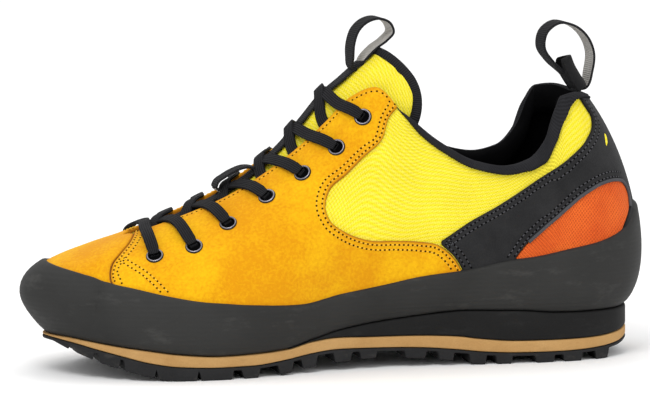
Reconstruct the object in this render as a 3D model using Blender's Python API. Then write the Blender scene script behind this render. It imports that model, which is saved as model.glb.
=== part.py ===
# Low approach shoe for the right foot, standing empty on its sole.
# Metres, +Z up, toe towards -X, inner (medial) side towards -Y, outer (lateral) side towards +Y.
# Every wall, panel and sole layer is worked out from two functions: the sole's outline in plan,
# and the ribs of the last, which rise from that outline to the collar's rim or the throat's edge.

import math
from collections import namedtuple

import bmesh
import bpy
import numpy as np
from mathutils import Vector

# Main sizes of the last and the sole
SOLE_LENGTH = 0.2645
BALL_WIDTH = 0.097
INSTEP_HEIGHT = 0.120
HEEL_HEIGHT = 0.115
SOLE_HEIGHT = 0.022

# Thicknesses
GAP = 0.0003
UPPER_WALL = 0.0018
PANEL = 0.0013
RAND_WALL = 0.0028
TONGUE_SLIP = 0.0013
SOLE_LEDGE = 0.0009
OUTSOLE_BASE = 0.0013
INSOLE = 0.0038
TONGUE = 0.0045
WEBBING = 0.0011
TRIM_WALL = 0.0019

# Widths and lengths of trims
TRIM_DROP = 0.0052
TRIM_LINING = 0.012
TRIM_PADDING = 0.0040
WEBBING_WIDTH = 0.0095
KEEPER_WIDTH = 0.0080
HEEL_TAB_WIDTH = 0.016
TAB_THICKNESS = 0.0024
LACE_WIDTH = 0.0048
LACE_THICKNESS = 0.0014
LACE_CLEARANCE = 0.0007
LACE_LEAD = 0.40
STRIP_LIFT = 0.0005
STRAND_END = 0.0026
EYELET_RADIUS = 0.0034
EYELET_HOLE = 0.0021
EYELET_HEIGHT = 0.0009
EYELET_LIFT = 0.0007
BINDING_WIDTH = 0.0054
BINDING_HEIGHT = 0.0026

# How finely the surfaces are divided
AROUND = 48
UP = 6
SLAB_RUNGS = 34
STRAND_STOPS = 8
LOOP_STOPS = 20
END_CROWDING = 0.35
RIM_STEP = 0.004
END_TRIM = 0.0004

# Sole outline: shares of the sole's length from the toe, and of the ball width from the centre line
Edge = namedtuple("Edge", "along across")
MEDIAL_EDGE = [
    Edge(0.992, -0.124), Edge(0.966, -0.237), Edge(0.921, -0.309), Edge(0.840, -0.340),
    Edge(0.700, -0.327), Edge(0.573, -0.314), Edge(0.460, -0.350), Edge(0.346, -0.438),
    Edge(0.250, -0.471), Edge(0.160, -0.440), Edge(0.081, -0.335), Edge(0.036, -0.235),
    Edge(0.010, -0.150), Edge(0.000, -0.062),
]
LATERAL_EDGE = [
    Edge(0.013, 0.052), Edge(0.047, 0.196), Edge(0.100, 0.340), Edge(0.164, 0.443),
    Edge(0.270, 0.525), Edge(0.384, 0.521), Edge(0.500, 0.462), Edge(0.648, 0.392),
    Edge(0.800, 0.363), Edge(0.921, 0.325), Edge(0.968, 0.247), Edge(0.993, 0.134),
    Edge(1.000, 0.005),
]

# Heights of the sole's layers, as shares of the sole's height
Level = namedtuple("Level", "along ground tan_bottom tan_top wedge")
LEVELS = [
    Level(0.000, 0.718, 0.773, 0.809, 0.000),
    Level(0.030, 0.568, 0.718, 0.791, 0.000),
    Level(0.070, 0.364, 0.600, 0.723, 0.000),
    Level(0.108, 0.218, 0.486, 0.655, 0.000),
    Level(0.150, 0.091, 0.364, 0.591, 0.000),
    Level(0.195, 0.000, 0.286, 0.518, 0.000),
    Level(0.270, 0.000, 0.250, 0.455, 0.000),
    Level(0.320, 0.000, 0.250, 0.464, 0.000),
    Level(0.380, 0.036, 0.314, 0.505, 0.005),
    Level(0.430, 0.118, 0.395, 0.618, 0.041),
    Level(0.475, 0.168, 0.436, 0.659, 0.136),
    Level(0.530, 0.209, 0.423, 0.636, 0.264),
    Level(0.620, 0.164, 0.386, 0.618, 0.400),
    Level(0.680, 0.091, 0.327, 0.582, 0.500),
    Level(0.725, 0.000, 0.264, 0.509, 0.568),
    Level(0.780, 0.000, 0.227, 0.455, 0.600),
    Level(0.850, 0.000, 0.218, 0.445, 0.545),
    Level(0.930, 0.000, 0.255, 0.464, 0.514),
    Level(0.970, 0.059, 0.309, 0.509, 0.468),
    Level(1.000, 0.227, 0.377, 0.559, 0.409),
]
WEDGE_START = 0.385

# Lugs of the tread: where each starts and ends, as shares of the sole's length
Lug = namedtuple("Lug", "front rear")
LUGS = [
    Lug(0.014, 0.030), Lug(0.042, 0.064), Lug(0.076, 0.102), Lug(0.114, 0.157),
    Lug(0.165, 0.225), Lug(0.236, 0.285), Lug(0.308, 0.331), Lug(0.372, 0.391),
    Lug(0.414, 0.435), Lug(0.472, 0.497), Lug(0.518, 0.541), Lug(0.595, 0.626),
    Lug(0.652, 0.673), Lug(0.705, 0.728), Lug(0.750, 0.772), Lug(0.817, 0.845),
    Lug(0.866, 0.894), Lug(0.924, 0.945),
]
LUG_SLOPE = 0.0045
LUG_LEAST = 0.0002
GROOVES = [(-0.50, -0.44, -0.38), (0.38, 0.44, 0.50)]

# Ribs of the last. base: share of the way round the half outline, from heel to toe.
# along, half, rise: the rib's top, as shares of sole length, ball width and its height.
# low_out, low_up, high_out, high_down: pulls on its lower and upper end, out of ball width,
# up and down of its height.
Rib = namedtuple("Rib", "base height along half rise low_out low_up high_out high_down")
HEEL, INSTEP = "heel", "instep"
RIBS = [
    Rib(0.000, HEEL, 0.932, 0.000, 0.978, 0.152, 0.113, 0.232, 0.261),
    Rib(0.070, HEEL, 0.920, 0.103, 0.987, 0.145, 0.113, 0.216, 0.261),
    Rib(0.130, HEEL, 0.896, 0.186, 1.000, 0.124, 0.113, 0.175, 0.261),
    Rib(0.180, HEEL, 0.869, 0.230, 0.991, 0.108, 0.115, 0.124, 0.260),
    Rib(0.205, HEEL, 0.855, 0.249, 0.939, 0.100, 0.120, 0.093, 0.235),
    Rib(0.235, HEEL, 0.837, 0.265, 0.830, 0.093, 0.122, 0.072, 0.210),
    Rib(0.270, HEEL, 0.807, 0.278, 0.757, 0.093, 0.122, 0.052, 0.200),
    Rib(0.310, HEEL, 0.766, 0.286, 0.735, 0.093, 0.122, 0.041, 0.200),
    Rib(0.360, HEEL, 0.716, 0.288, 0.757, 0.093, 0.122, 0.041, 0.210),
    Rib(0.420, HEEL, 0.660, 0.278, 0.826, 0.098, 0.130, 0.052, 0.235),
    Rib(0.470, HEEL, 0.622, 0.265, 0.895, 0.103, 0.139, 0.072, 0.260),
    Rib(0.505, INSTEP, 0.592, 0.245, 0.930, 0.113, 0.142, 0.103, 0.217),
    Rib(0.540, INSTEP, 0.552, 0.195, 1.020, 0.124, 0.150, 0.155, 0.150),
    Rib(0.570, INSTEP, 0.516, 0.160, 0.984, 0.124, 0.150, 0.206, 0.112),
    Rib(0.610, INSTEP, 0.472, 0.142, 0.888, 0.124, 0.150, 0.237, 0.100),
    Rib(0.660, INSTEP, 0.420, 0.127, 0.783, 0.124, 0.142, 0.268, 0.100),
    Rib(0.720, INSTEP, 0.361, 0.111, 0.688, 0.124, 0.125, 0.289, 0.092),
    Rib(0.780, INSTEP, 0.297, 0.093, 0.608, 0.124, 0.117, 0.289, 0.083),
    Rib(0.840, INSTEP, 0.233, 0.072, 0.550, 0.129, 0.112, 0.289, 0.078),
    Rib(0.900, INSTEP, 0.180, 0.049, 0.508, 0.144, 0.130, 0.330, 0.085),
    Rib(0.950, INSTEP, 0.153, 0.027, 0.490, 0.168, 0.155, 0.440, 0.100),
    Rib(1.000, INSTEP, 0.146, 0.000, 0.483, 0.188, 0.167, 0.515, 0.108),
]
COLLAR_FRONT = 0.500
THROAT_TOP = 0.575

# Top edge of the rubber rand, as shares of sole length and instep height
Mark = namedtuple("Mark", "along rise")
RAND_TOP = [
    Mark(-0.020, 0.400), Mark(0.030, 0.383), Mark(0.060, 0.370), Mark(0.100, 0.342),
    Mark(0.130, 0.329), Mark(0.180, 0.306), Mark(0.225, 0.289), Mark(0.315, 0.273),
    Mark(0.403, 0.264), Mark(0.475, 0.289), Mark(0.553, 0.314), Mark(0.618, 0.339),
    Mark(0.694, 0.358), Mark(0.772, 0.389), Mark(0.810, 0.397), Mark(0.870, 0.422),
    Mark(0.928, 0.447), Mark(0.970, 0.481), Mark(1.000, 0.545), Mark(1.030, 0.580),
]

# Side outlines of the panels, shares of sole length and instep height
VAMP_REAR = [
    Mark(0.600, 1.080), Mark(0.588, 0.956), Mark(0.569, 0.914), Mark(0.554, 0.839),
    Mark(0.524, 0.781), Mark(0.493, 0.722), Mark(0.459, 0.656), Mark(0.452, 0.597),
    Mark(0.459, 0.556), Mark(0.480, 0.519), Mark(0.524, 0.480), Mark(0.573, 0.472),
    Mark(0.614, 0.464), Mark(0.648, 0.447), Mark(0.671, 0.406), Mark(0.690, 0.340),
]
TOE_SEAM = [
    Mark(0.180, 0.600), Mark(0.162, 0.506), Mark(0.141, 0.468), Mark(0.118, 0.432),
    Mark(0.101, 0.400), Mark(0.096, 0.372), Mark(0.098, 0.340), Mark(0.102, 0.240),
]
VAMP_TAIL = VAMP_REAR[12:]
BAND_FRONT = [
    Mark(0.652, 0.462), Mark(0.701, 0.531), Mark(0.750, 0.589), Mark(0.822, 0.681),
    Mark(0.871, 0.756), Mark(0.905, 0.856), Mark(0.921, 0.910), Mark(0.935, 0.990),
    Mark(0.945, 1.060),
]
LEAF = [
    Mark(0.775, 0.380), Mark(0.800, 0.450), Mark(0.849, 0.538), Mark(0.898, 0.621),
    Mark(0.928, 0.650), Mark(0.951, 0.656), Mark(0.972, 0.645), Mark(0.987, 0.600),
    Mark(0.988, 0.550), Mark(0.975, 0.500), Mark(0.945, 0.420), Mark(0.900, 0.380),
]

# Webbing bridge on the tongue that holds the lace down: share of sole length, and how far it
# stands above the tongue's strip, as a share of its greatest height
Bridge = namedtuple("Bridge", "along lift")
KEEPER = [
    Bridge(0.3310, 0.00), Bridge(0.3332, 0.22), Bridge(0.3354, 0.80), Bridge(0.3420, 0.98),
    Bridge(0.3535, 1.00), Bridge(0.3680, 0.98), Bridge(0.3760, 0.80), Bridge(0.3800, 0.22),
    Bridge(0.3840, 0.00),
]
KEEPER_HEIGHT = 0.0036

# Eyelets on each side, from the toe up, shares of sole length and instep height
EYELETS = [
    Mark(0.172, 0.431), Mark(0.236, 0.464), Mark(0.297, 0.539), Mark(0.365, 0.631),
    Mark(0.425, 0.714), Mark(0.482, 0.806), Mark(0.527, 0.914),
]

# Tongue above the throat: one row for each section, from its centre to its wing.
# along and rise: shares of sole length and instep height; half: share of ball width.
Fold = namedtuple("Fold", "along half rise")
TONGUE_TOP = [
    [Fold(0.518, 0.000, 1.030), Fold(0.524, 0.072, 1.012), Fold(0.540, 0.144, 0.962),
     Fold(0.565, 0.183, 0.885), Fold(0.590, 0.188, 0.815)],
    [Fold(0.545, 0.000, 1.082), Fold(0.552, 0.082, 1.070), Fold(0.572, 0.150, 1.020),
     Fold(0.596, 0.184, 0.955), Fold(0.616, 0.192, 0.885)],
    [Fold(0.571, 0.000, 1.138), Fold(0.577, 0.076, 1.130), Fold(0.597, 0.137, 1.092),
     Fold(0.617, 0.170, 1.034), Fold(0.628, 0.182, 0.965)],
]
TONGUE_CROWN = [(0.575, 0.0070), (0.610, 0.0066), (0.660, 0.0046), (0.720, 0.0028),
                (0.800, 0.0018), (0.900, 0.0012), (0.940, 0.0008)]
TONGUE_WINGS = (0.013, 0.0065, 0.0)
TONGUE_TOE = 0.925

# Webbing loops seen from the side, shares of sole length and instep height
TONGUE_LOOP = [
    Mark(0.5300, 1.100), Mark(0.5240, 1.140), Mark(0.5285, 1.195), Mark(0.5480, 1.245),
    Mark(0.5750, 1.255), Mark(0.5960, 1.228), Mark(0.6000, 1.196), Mark(0.5880, 1.176),
    Mark(0.5680, 1.162), Mark(0.5470, 1.120),
]
HEEL_LOOP = [
    Mark(0.9140, 0.988), Mark(0.8850, 1.060), Mark(0.8590, 1.125), Mark(0.8610, 1.185),
    Mark(0.8830, 1.222), Mark(0.9140, 1.208), Mark(0.9400, 1.150), Mark(0.9500, 1.085),
    Mark(0.9440, 1.010), Mark(0.9290, 0.970),
]
HEEL_TAB = [
    Mark(0.9285, 0.9900), Mark(0.9170, 1.0275), Mark(0.9070, 1.068), Mark(0.9030, 1.098),
]


# Smooth functions through short tables

def limited_slopes(knots, values):
    steps = np.diff(knots)
    rises = np.diff(values) / steps
    slopes = np.zeros(len(knots))
    for i in range(1, len(knots) - 1):
        before, after = rises[i - 1], rises[i]
        if before * after > 0:
            wide, narrow = 2 * steps[i] + steps[i - 1], steps[i] + 2 * steps[i - 1]
            slopes[i] = (wide + narrow) / (wide / before + narrow / after)
    return slopes


def through(knots, values, end_slopes=False):
    # A smooth function through a table, with no overshoot between its rows
    knots, values = np.array(knots, float), np.array(values, float)
    slopes = limited_slopes(knots, values)
    if end_slopes:
        slopes[0] = (values[1] - values[0]) / (knots[1] - knots[0])
        slopes[-1] = (values[-1] - values[-2]) / (knots[-1] - knots[-2])

    def value(at):
        at = min(max(at, knots[0]), knots[-1])
        i = min(max(int(np.searchsorted(knots, at)) - 1, 0), len(knots) - 2)
        step = knots[i + 1] - knots[i]
        t = (at - knots[i]) / step
        a, b = 2 * t**3 - 3 * t**2 + 1, t**3 - 2 * t**2 + t
        return a * values[i] + b * step * slopes[i] + (1 - a) * values[i + 1] \
            + (t**3 - t**2) * step * slopes[i + 1]
    return value


def smooth_path(points, count, closed=False):
    # Evenly spaced points on a smooth curve through a few given points
    points = np.array(points, float)
    if closed:
        points = np.vstack([points[-2:], points, points[:3]])
    chords = np.linalg.norm(np.diff(points, axis=0), axis=1)
    knots = np.concatenate([[0.0], np.cumsum(chords)])
    slopes = np.gradient(points, knots, axis=0)
    first, last = (2, len(points) - 3) if closed else (0, len(points) - 1)
    fine = []
    for i in range(first, last):
        step = knots[i + 1] - knots[i]
        for t in np.linspace(0, 1, 24, endpoint=False):
            a, b = 2 * t**3 - 3 * t**2 + 1, t**3 - 2 * t**2 + t
            fine.append(a * points[i] + b * step * slopes[i] + (1 - a) * points[i + 1]
                        + (t**3 - t**2) * step * slopes[i + 1])
    fine.append(points[last])
    fine = np.array(fine)
    run = np.concatenate([[0.0], np.cumsum(np.linalg.norm(np.diff(fine, axis=0), axis=1))])
    stops = np.linspace(0, run[-1], count + 1)[:-1] if closed else np.linspace(0, run[-1], count)
    return np.array([[np.interp(s, run, fine[:, k]) for k in range(fine.shape[1])] for s in stops])


def lengthwise(along):
    return (along - 0.5) * SOLE_LENGTH


def placed(mark):
    # A mark's place in the side view
    return (lengthwise(mark.along), mark.rise * INSTEP_HEIGHT)


# The sole's outline in plan

def closed_outline():
    rows = MEDIAL_EDGE + LATERAL_EDGE
    points = [(lengthwise(row.along), row.across * BALL_WIDTH) for row in rows]
    fine = smooth_path(points, 1200, closed=True)
    fine = np.roll(fine, -int(np.argmax(fine[:, 0])), axis=0)
    toe = int(np.argmin(fine[:, 0]))
    inner, outer = fine[:toe + 1], np.vstack([fine[toe:], fine[:1]])

    def shares(path):
        run = np.concatenate([[0.0], np.cumsum(np.linalg.norm(np.diff(path, axis=0), axis=1))])
        return run / run[-1] / 2
    return (np.concatenate([shares(inner), 0.5 + shares(outer)[1:]]),
            np.vstack([inner, outer[1:]]))


OUTLINE_SHARES, OUTLINE_POINTS = closed_outline()


def outline(turn, inset=0.0):
    # Point and outward direction at a share of the way round: heel 0, inner side, toe 0.5, outer side
    def at(share):
        share %= 1.0
        return np.array([np.interp(share, OUTLINE_SHARES, OUTLINE_POINTS[:, k]) for k in (0, 1)])
    run = at(turn + 0.004) - at(turn - 0.004)
    out = np.array([-run[1], run[0]]) / np.linalg.norm(run)
    return at(turn) - inset * out, out


def half_edges(inset):
    # The two sides of the outline, moved in, as functions of x
    turns = np.linspace(0.0, 1.0, 500)
    points = np.array([outline(turn, inset)[0] for turn in turns])
    toe = int(np.argmin(points[:, 0]))
    inner, outer = points[:toe + 1][::-1], points[toe:]
    inner = inner[np.argsort(inner[:, 0])]
    outer = outer[np.argsort(outer[:, 0])]
    ends = (points[:, 0].min(), points[:, 0].max())
    return (lambda x: float(np.interp(x, inner[:, 0], inner[:, 1])),
            lambda x: float(np.interp(x, outer[:, 0], outer[:, 1])), ends)


# Heights of the sole's layers

def level(column):
    rule = through([row.along for row in LEVELS], [getattr(row, column) for row in LEVELS])
    return lambda x: SOLE_HEIGHT * rule(x / SOLE_LENGTH + 0.5)


ground = level("ground")
tan_bottom = level("tan_bottom")
tan_top = level("tan_top")
wedge_height = level("wedge")


def wedge_top(x):
    # Top of the layer that carries the upper: the wedge, or the tan layer ahead of it
    return tan_top(x) + wedge_height(x)


def feather(x):
    return wedge_top(x) + 2 * GAP


# The ribs of the last

def rib_columns():
    heights = {HEEL: HEEL_HEIGHT, INSTEP: INSTEP_HEIGHT}
    bases = [row.base for row in RIBS]
    columns = {
        "x": [lengthwise(row.along) for row in RIBS],
        "z": [row.rise * heights[row.height] for row in RIBS],
        "low_out": [row.low_out * BALL_WIDTH for row in RIBS],
        "high_out": [row.high_out * BALL_WIDTH for row in RIBS],
        "low_up": [row.low_up * heights[row.height] for row in RIBS],
        "high_down": [row.high_down * heights[row.height] for row in RIBS],
    }
    rules = {name: through(bases, values) for name, values in columns.items()}
    rules["half"] = through(bases, [row.half * BALL_WIDTH for row in RIBS], end_slopes=True)
    return rules


RULES = rib_columns()
UPPER_INSET = SOLE_LEDGE + RAND_WALL
THROAT_SHIFT = through([0.0, 0.75, 1.0], [0.0, 0.0, -0.02 * BALL_WIDTH])
RIB_CACHE = {}


def rib(turn):
    # The four control points of the rib at a share of the way round
    key = round(turn % 1.0, 6)
    if key not in RIB_CACHE:
        base = 2 * key if key <= 0.5 else 2 - 2 * key
        side = -1 if key <= 0.5 else 1
        foot, out = outline(key, UPPER_INSET)
        out = np.array([out[0], out[1], 0.0])
        rule = {name: value(base) for name, value in RULES.items()}
        low = np.array([foot[0], foot[1], feather(foot[0])])
        high = np.array([rule["x"], side * rule["half"] + THROAT_SHIFT(base), rule["z"]])
        up = np.array([0.0, 0.0, 1.0])
        RIB_CACHE[key] = (low, low + rule["low_out"] * out + rule["low_up"] * up,
                          high + rule["high_out"] * out - rule["high_down"] * up, high)
    return RIB_CACHE[key]


def last_point(turn, climb):
    # A point on the last's surface, climb 0 at the sole and 1 at the rim
    a, b, c, d = rib(turn)
    t, s = climb, 1 - climb
    return s**3 * a + 3 * s * s * t * b + 3 * s * t * t * c + t**3 * d


def last_normal(turn, climb):
    # Outward, never downward, so that walls stand on the sole
    step = 0.004
    across = last_point(turn + step, climb) - last_point(turn - step, climb)
    upward = last_point(turn, climb + step) - last_point(turn, climb - step)
    normal = np.cross(upward, across)
    normal /= np.linalg.norm(normal) + 1e-12
    normal[2] = max(normal[2], 0.0)
    return normal / (np.linalg.norm(normal) + 1e-12)


def offset_point(turn, climb, offset):
    point = last_point(turn, climb) + offset * last_normal(turn, climb)
    if climb == 0.0:
        point[2] = feather(point[0])
    return point


def climb_at_height(turn, height_rule, extra=0.0):
    # Where the rib at this turn crosses a height that depends on x
    low, high = 0.0, 0.97
    for _ in range(30):
        middle = (low + high) / 2
        point = last_point(turn, middle)
        if point[2] < height_rule(point[0]) + extra:
            low = middle
        else:
            high = middle
    return (low + high) / 2


def climb_below_rim(turn, depth):
    # Where the rib lies a given length below its top end
    steps = np.linspace(1.0, 0.3, 60)
    points = np.array([last_point(turn, s) for s in steps])
    run = np.concatenate([[0.0], np.cumsum(np.linalg.norm(np.diff(points, axis=0), axis=1))])
    return float(np.interp(depth, run, steps))


def surface_spot(side, x, z):
    # Turn and climb of the surface point that shows at (x, z) in the side view
    def spot(base):
        turn = base / 2 if side < 0 else 1 - base / 2
        climb = climb_at_height(turn, lambda _: z)
        return turn, climb, last_point(turn, climb)[0]
    near, far = 0.05, 0.95
    for _ in range(24):
        middle = (near + far) / 2
        if spot(middle)[2] > x:
            near = middle
        else:
            far = middle
    return spot((near + far) / 2)[:2]


def rule_of(marks):
    places = [placed(mark) for mark in marks]
    return through([place[0] for place in places], [place[1] for place in places])


rand_top = rule_of(RAND_TOP)


# Making solids

def material(name, colour, roughness, metallic=0.0):
    made = bpy.data.materials.new(name)
    made.use_nodes = True
    shader = made.node_tree.nodes["Principled BSDF"]
    shader.inputs["Base Color"].default_value = (*colour, 1.0)
    shader.inputs["Roughness"].default_value = roughness
    shader.inputs["Metallic"].default_value = metallic
    return made


def solid(name, points, faces, look):
    mesh = bpy.data.meshes.new(name)
    mesh.from_pydata([tuple(point) for point in points], [], faces)
    work = bmesh.new()
    work.from_mesh(mesh)
    bmesh.ops.triangulate(work, faces=[face for face in work.faces if len(face.verts) > 4])
    bmesh.ops.recalc_face_normals(work, faces=work.faces)
    if work.calc_volume(signed=True) < 0:
        bmesh.ops.reverse_faces(work, faces=work.faces)
    work.to_mesh(mesh)
    work.free()
    mesh.shade_smooth()
    mesh.set_sharp_from_angle(angle=math.radians(35))
    made = bpy.data.objects.new(name, mesh)
    bpy.context.scene.collection.objects.link(made)
    if look:
        mesh.materials.append(look)
    return made


def loft(name, rings, look, closed=False, wall=False):
    # Joins rings of points, each ring a closed section, into one solid. In a wall the ring's
    # second half runs back down the inside, and is split the same way as the outside.
    count = len(rings[0])
    points = [point for ring in rings for point in ring]
    faces = []
    spans = len(rings) if closed else len(rings) - 1
    for i in range(spans):
        here, there = i * count, (i + 1) % len(rings) * count
        for j in range(count):
            k = (j + 1) % count
            if not wall:
                faces.append((here + j, here + k, there + k, there + j))
            elif j < count // 2:
                faces += [(here + j, here + k, there + k), (here + j, there + k, there + j)]
            else:
                faces += [(here + j, here + k, there + j), (here + k, there + k, there + j)]
    if not closed:
        faces.append(tuple(range(count))[::-1])
        faces.append(tuple(range((len(rings) - 1) * count, len(rings) * count)))
    return solid(name, points, faces, look)


def boolean(target, cutter, operation, solver="EXACT"):
    step = target.modifiers.new(operation.lower(), "BOOLEAN")
    step.operation = operation
    step.object = cutter
    step.solver = solver


def helper(made):
    made.hide_render = True
    made.display_type = "WIRE"
    return made


def side_prism(name, outline_points, side=0):
    # A cutter with the given outline in the side view, through the shoe or one side of it
    near = side * GAP if side else -BALL_WIDTH
    far = side * BALL_WIDTH if side else BALL_WIDTH
    rings = [[(x, y, z) for x, z in outline_points] for y in (near, far)]
    return helper(loft(name, rings, None))


def grown(points, amount):
    # A closed side outline moved outwards
    points = np.array(points)
    run = np.roll(points, -1, axis=0) - np.roll(points, 1, axis=0)
    out = np.stack([run[:, 1], -run[:, 0]], axis=1) / np.linalg.norm(run, axis=1)[:, None]
    area = np.sum(points[:, 0] * np.roll(points[:, 1], -1) - np.roll(points[:, 0], -1) * points[:, 1])
    return points + math.copysign(amount, area) * out


def turns_around():
    # Shares of the way round, closer together at the heel and the toe
    shares = [i / AROUND for i in range(AROUND)]
    return [share - END_CROWDING * math.sin(4 * math.pi * share) / (4 * math.pi) for share in shares]


def rand_climbs(turn):
    top = climb_at_height(turn, rand_top)
    return [top * share for share in (0.0, 0.3, 0.62, 0.92, 1.0)]


def panel_climbs(turn):
    # Between the rand's top edge and the throat's edge, or the collar's trim
    low = climb_at_height(turn, rand_top, 2 * GAP)
    base = min(2 * turn, 2 - 2 * turn)
    high = 1.0 if base > COLLAR_FRONT + 0.012 else climb_below_rim(turn, TRIM_DROP + 2 * GAP)
    return [low + (high - low) * i / UP for i in range(UP + 1)]


# The sole

def slab_stations(ends, count):
    low, high = ends[0] + END_TRIM, ends[1] - END_TRIM
    shares = [0.5 - 0.5 * math.cos(math.pi * i / (count - 1)) for i in range(count)]
    return [low + share * (high - low) for share in shares]


def slab(name, bottom, top, look, start=-SOLE_LENGTH):
    # A layer of the sole behind the given start, on the same stations as the layers below it
    inner, outer, ends = half_edges(0.0)
    rings = []
    for x in slab_stations(ends, SLAB_RUNGS):
        if x < start:
            continue
        low, high = bottom(x), top(x)
        rings.append([(x, inner(x), low), (x, inner(x), high), (x, outer(x), high), (x, outer(x), low)])
    return loft(name, rings, look)


def tread_stations(ends):
    # Stations along the tread, each with whether it lies on a lug
    slope = LUG_SLOPE * SOLE_LENGTH
    stations = [(ends[0] + END_TRIM, False), (ends[1] - END_TRIM, False)]
    for lug in LUGS:
        front, rear = lengthwise(lug.front), lengthwise(lug.rear)
        stations += [(front - slope, False), (front, True), (rear, True), (rear + slope, False)]
    stations += [(ends[0] + 3 * END_TRIM, False)]
    stations += [(ends[1] - END_TRIM * steps, False) for steps in (4, 10, 20)]
    return sorted(stations)


def make_outsole(look):
    inner, outer, ends = half_edges(0.0)
    rings = []
    for x, on_lug in tread_stations(ends):
        left, right = inner(x), outer(x)
        top = tan_bottom(x) - GAP
        root = top - OUTSOLE_BASE
        low = min(ground(x), root - LUG_LEAST) if on_lug else root
        middle, half = (left + right) / 2, (right - left) / 2
        ring = [(x, right, top), (x, left, top), (x, left, low)]
        for near, deep, far in GROOVES:
            ring += [(x, middle + near * half, low), (x, middle + deep * half, root),
                     (x, middle + far * half, low)]
        ring.append((x, right, low))
        rings.append(ring)
    return loft("outsole", rings, look)


def make_insole(look):
    inset = UPPER_INSET + UPPER_WALL + 2 * GAP
    inner, outer, ends = half_edges(inset)
    rings = []
    for x in slab_stations(ends, SLAB_RUNGS - 10):
        left, right = inner(x), outer(x)
        low = feather(x) + GAP
        top = low + INSOLE
        edge = 0.14 * (right - left)
        cup = top + 0.5 * INSOLE
        rings.append([(x, left, low), (x, left, cup), (x, left + edge, top),
                      (x, right - edge, top), (x, right, cup), (x, right, low)])
    return loft("insole", rings, look)


# The upper and what lies on it

def wall_ring(turn, climbs, outside, inside):
    outer_side = [offset_point(turn, climb, outside) for climb in climbs]
    inner_side = [offset_point(turn, climb, inside) for climb in reversed(climbs)]
    return outer_side + inner_side


def make_upper(look):
    # Divided where the rand and the panels are, so that the layers stay parallel
    rings = []
    for turn in turns_around():
        climbs = rand_climbs(turn)[:-2] + panel_climbs(turn)
        if climbs[-1] < 0.999:
            climbs.append(1.0)
        else:
            climbs.insert(-1, climbs[-1] - RIM_STEP)
        rings.append(wall_ring(turn, climbs, 0.0, -UPPER_WALL))
    return loft("upper", rings, look, closed=True, wall=True)


def make_rand(look):
    rings = []
    for turn in turns_around():
        climbs = rand_climbs(turn)
        walls = (1.0, 1.0, 1.0, 0.92, 0.5)
        ring = [offset_point(turn, climb, GAP + RAND_WALL * wall) for climb, wall in zip(climbs, walls)]
        ring += [offset_point(turn, climb, GAP) for climb in reversed(climbs)]
        rings.append(ring)
    return loft("rand", rings, look, closed=True, wall=True)


def panel_shell(name, look):
    # The layer that the panels are cut from
    rings = [wall_ring(turn, panel_climbs(turn), GAP + PANEL, GAP) for turn in turns_around()]
    return loft(name, rings, look, closed=True, wall=True)


def cut_from_shell(name, look, keep, side=0, drop=(), solver="EXACT"):
    made = panel_shell(name, look)
    boolean(made, side_prism(name + "_cutter", keep, side), "INTERSECT", solver)
    for number, outline_points in enumerate(drop):
        boolean(made, side_prism(f"{name}_relief_{number}", outline_points), "DIFFERENCE")
    return made


def side_curve(marks, count, closed=False):
    return [tuple(point) for point in smooth_path([placed(mark) for mark in marks], count, closed)]


def shifted(points, amount):
    return [(x + amount, z) for x, z in points]


def make_vamp(side, look):
    rear, seam = side_curve(VAMP_REAR, 36), side_curve(TOE_SEAM, 10)
    below = [(rear[-1][0], seam[-1][1])]
    above = [(seam[0][0], rear[0][1])]
    keep = rear + below + shifted(seam, GAP)[::-1] + above
    if side < 0:
        # The exact solver returns an empty mesh for this half
        return cut_from_shell("vamp_medial", look, keep, side, solver="MANIFOLD")
    return cut_from_shell("vamp_lateral", look, keep, side)


def make_toe_panel(look):
    seam = side_curve(TOE_SEAM, 10)
    ahead = -0.7 * SOLE_LENGTH
    return cut_from_shell("toe_panel", look,
                          shifted(seam, -GAP / 2) + [(ahead, seam[-1][1]), (ahead, seam[0][1])])


def leaf_outline():
    return side_curve(LEAF, 24, closed=True)


def make_heel_band(look):
    front = side_curve(BAND_FRONT, 18)
    tail = shifted(side_curve(VAMP_TAIL, 8), 3 * GAP)[::-1]
    behind = 0.62 * SOLE_LENGTH
    keep = tail[:-1] + front + [(behind, front[-1][1]), (behind, tail[0][1])]
    return cut_from_shell("heel_band", look, keep, drop=[grown(leaf_outline(), 2 * GAP)])


def make_insert(side, look):
    name = "insert_medial" if side < 0 else "insert_lateral"
    return cut_from_shell(name, look, leaf_outline(), side)


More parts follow.
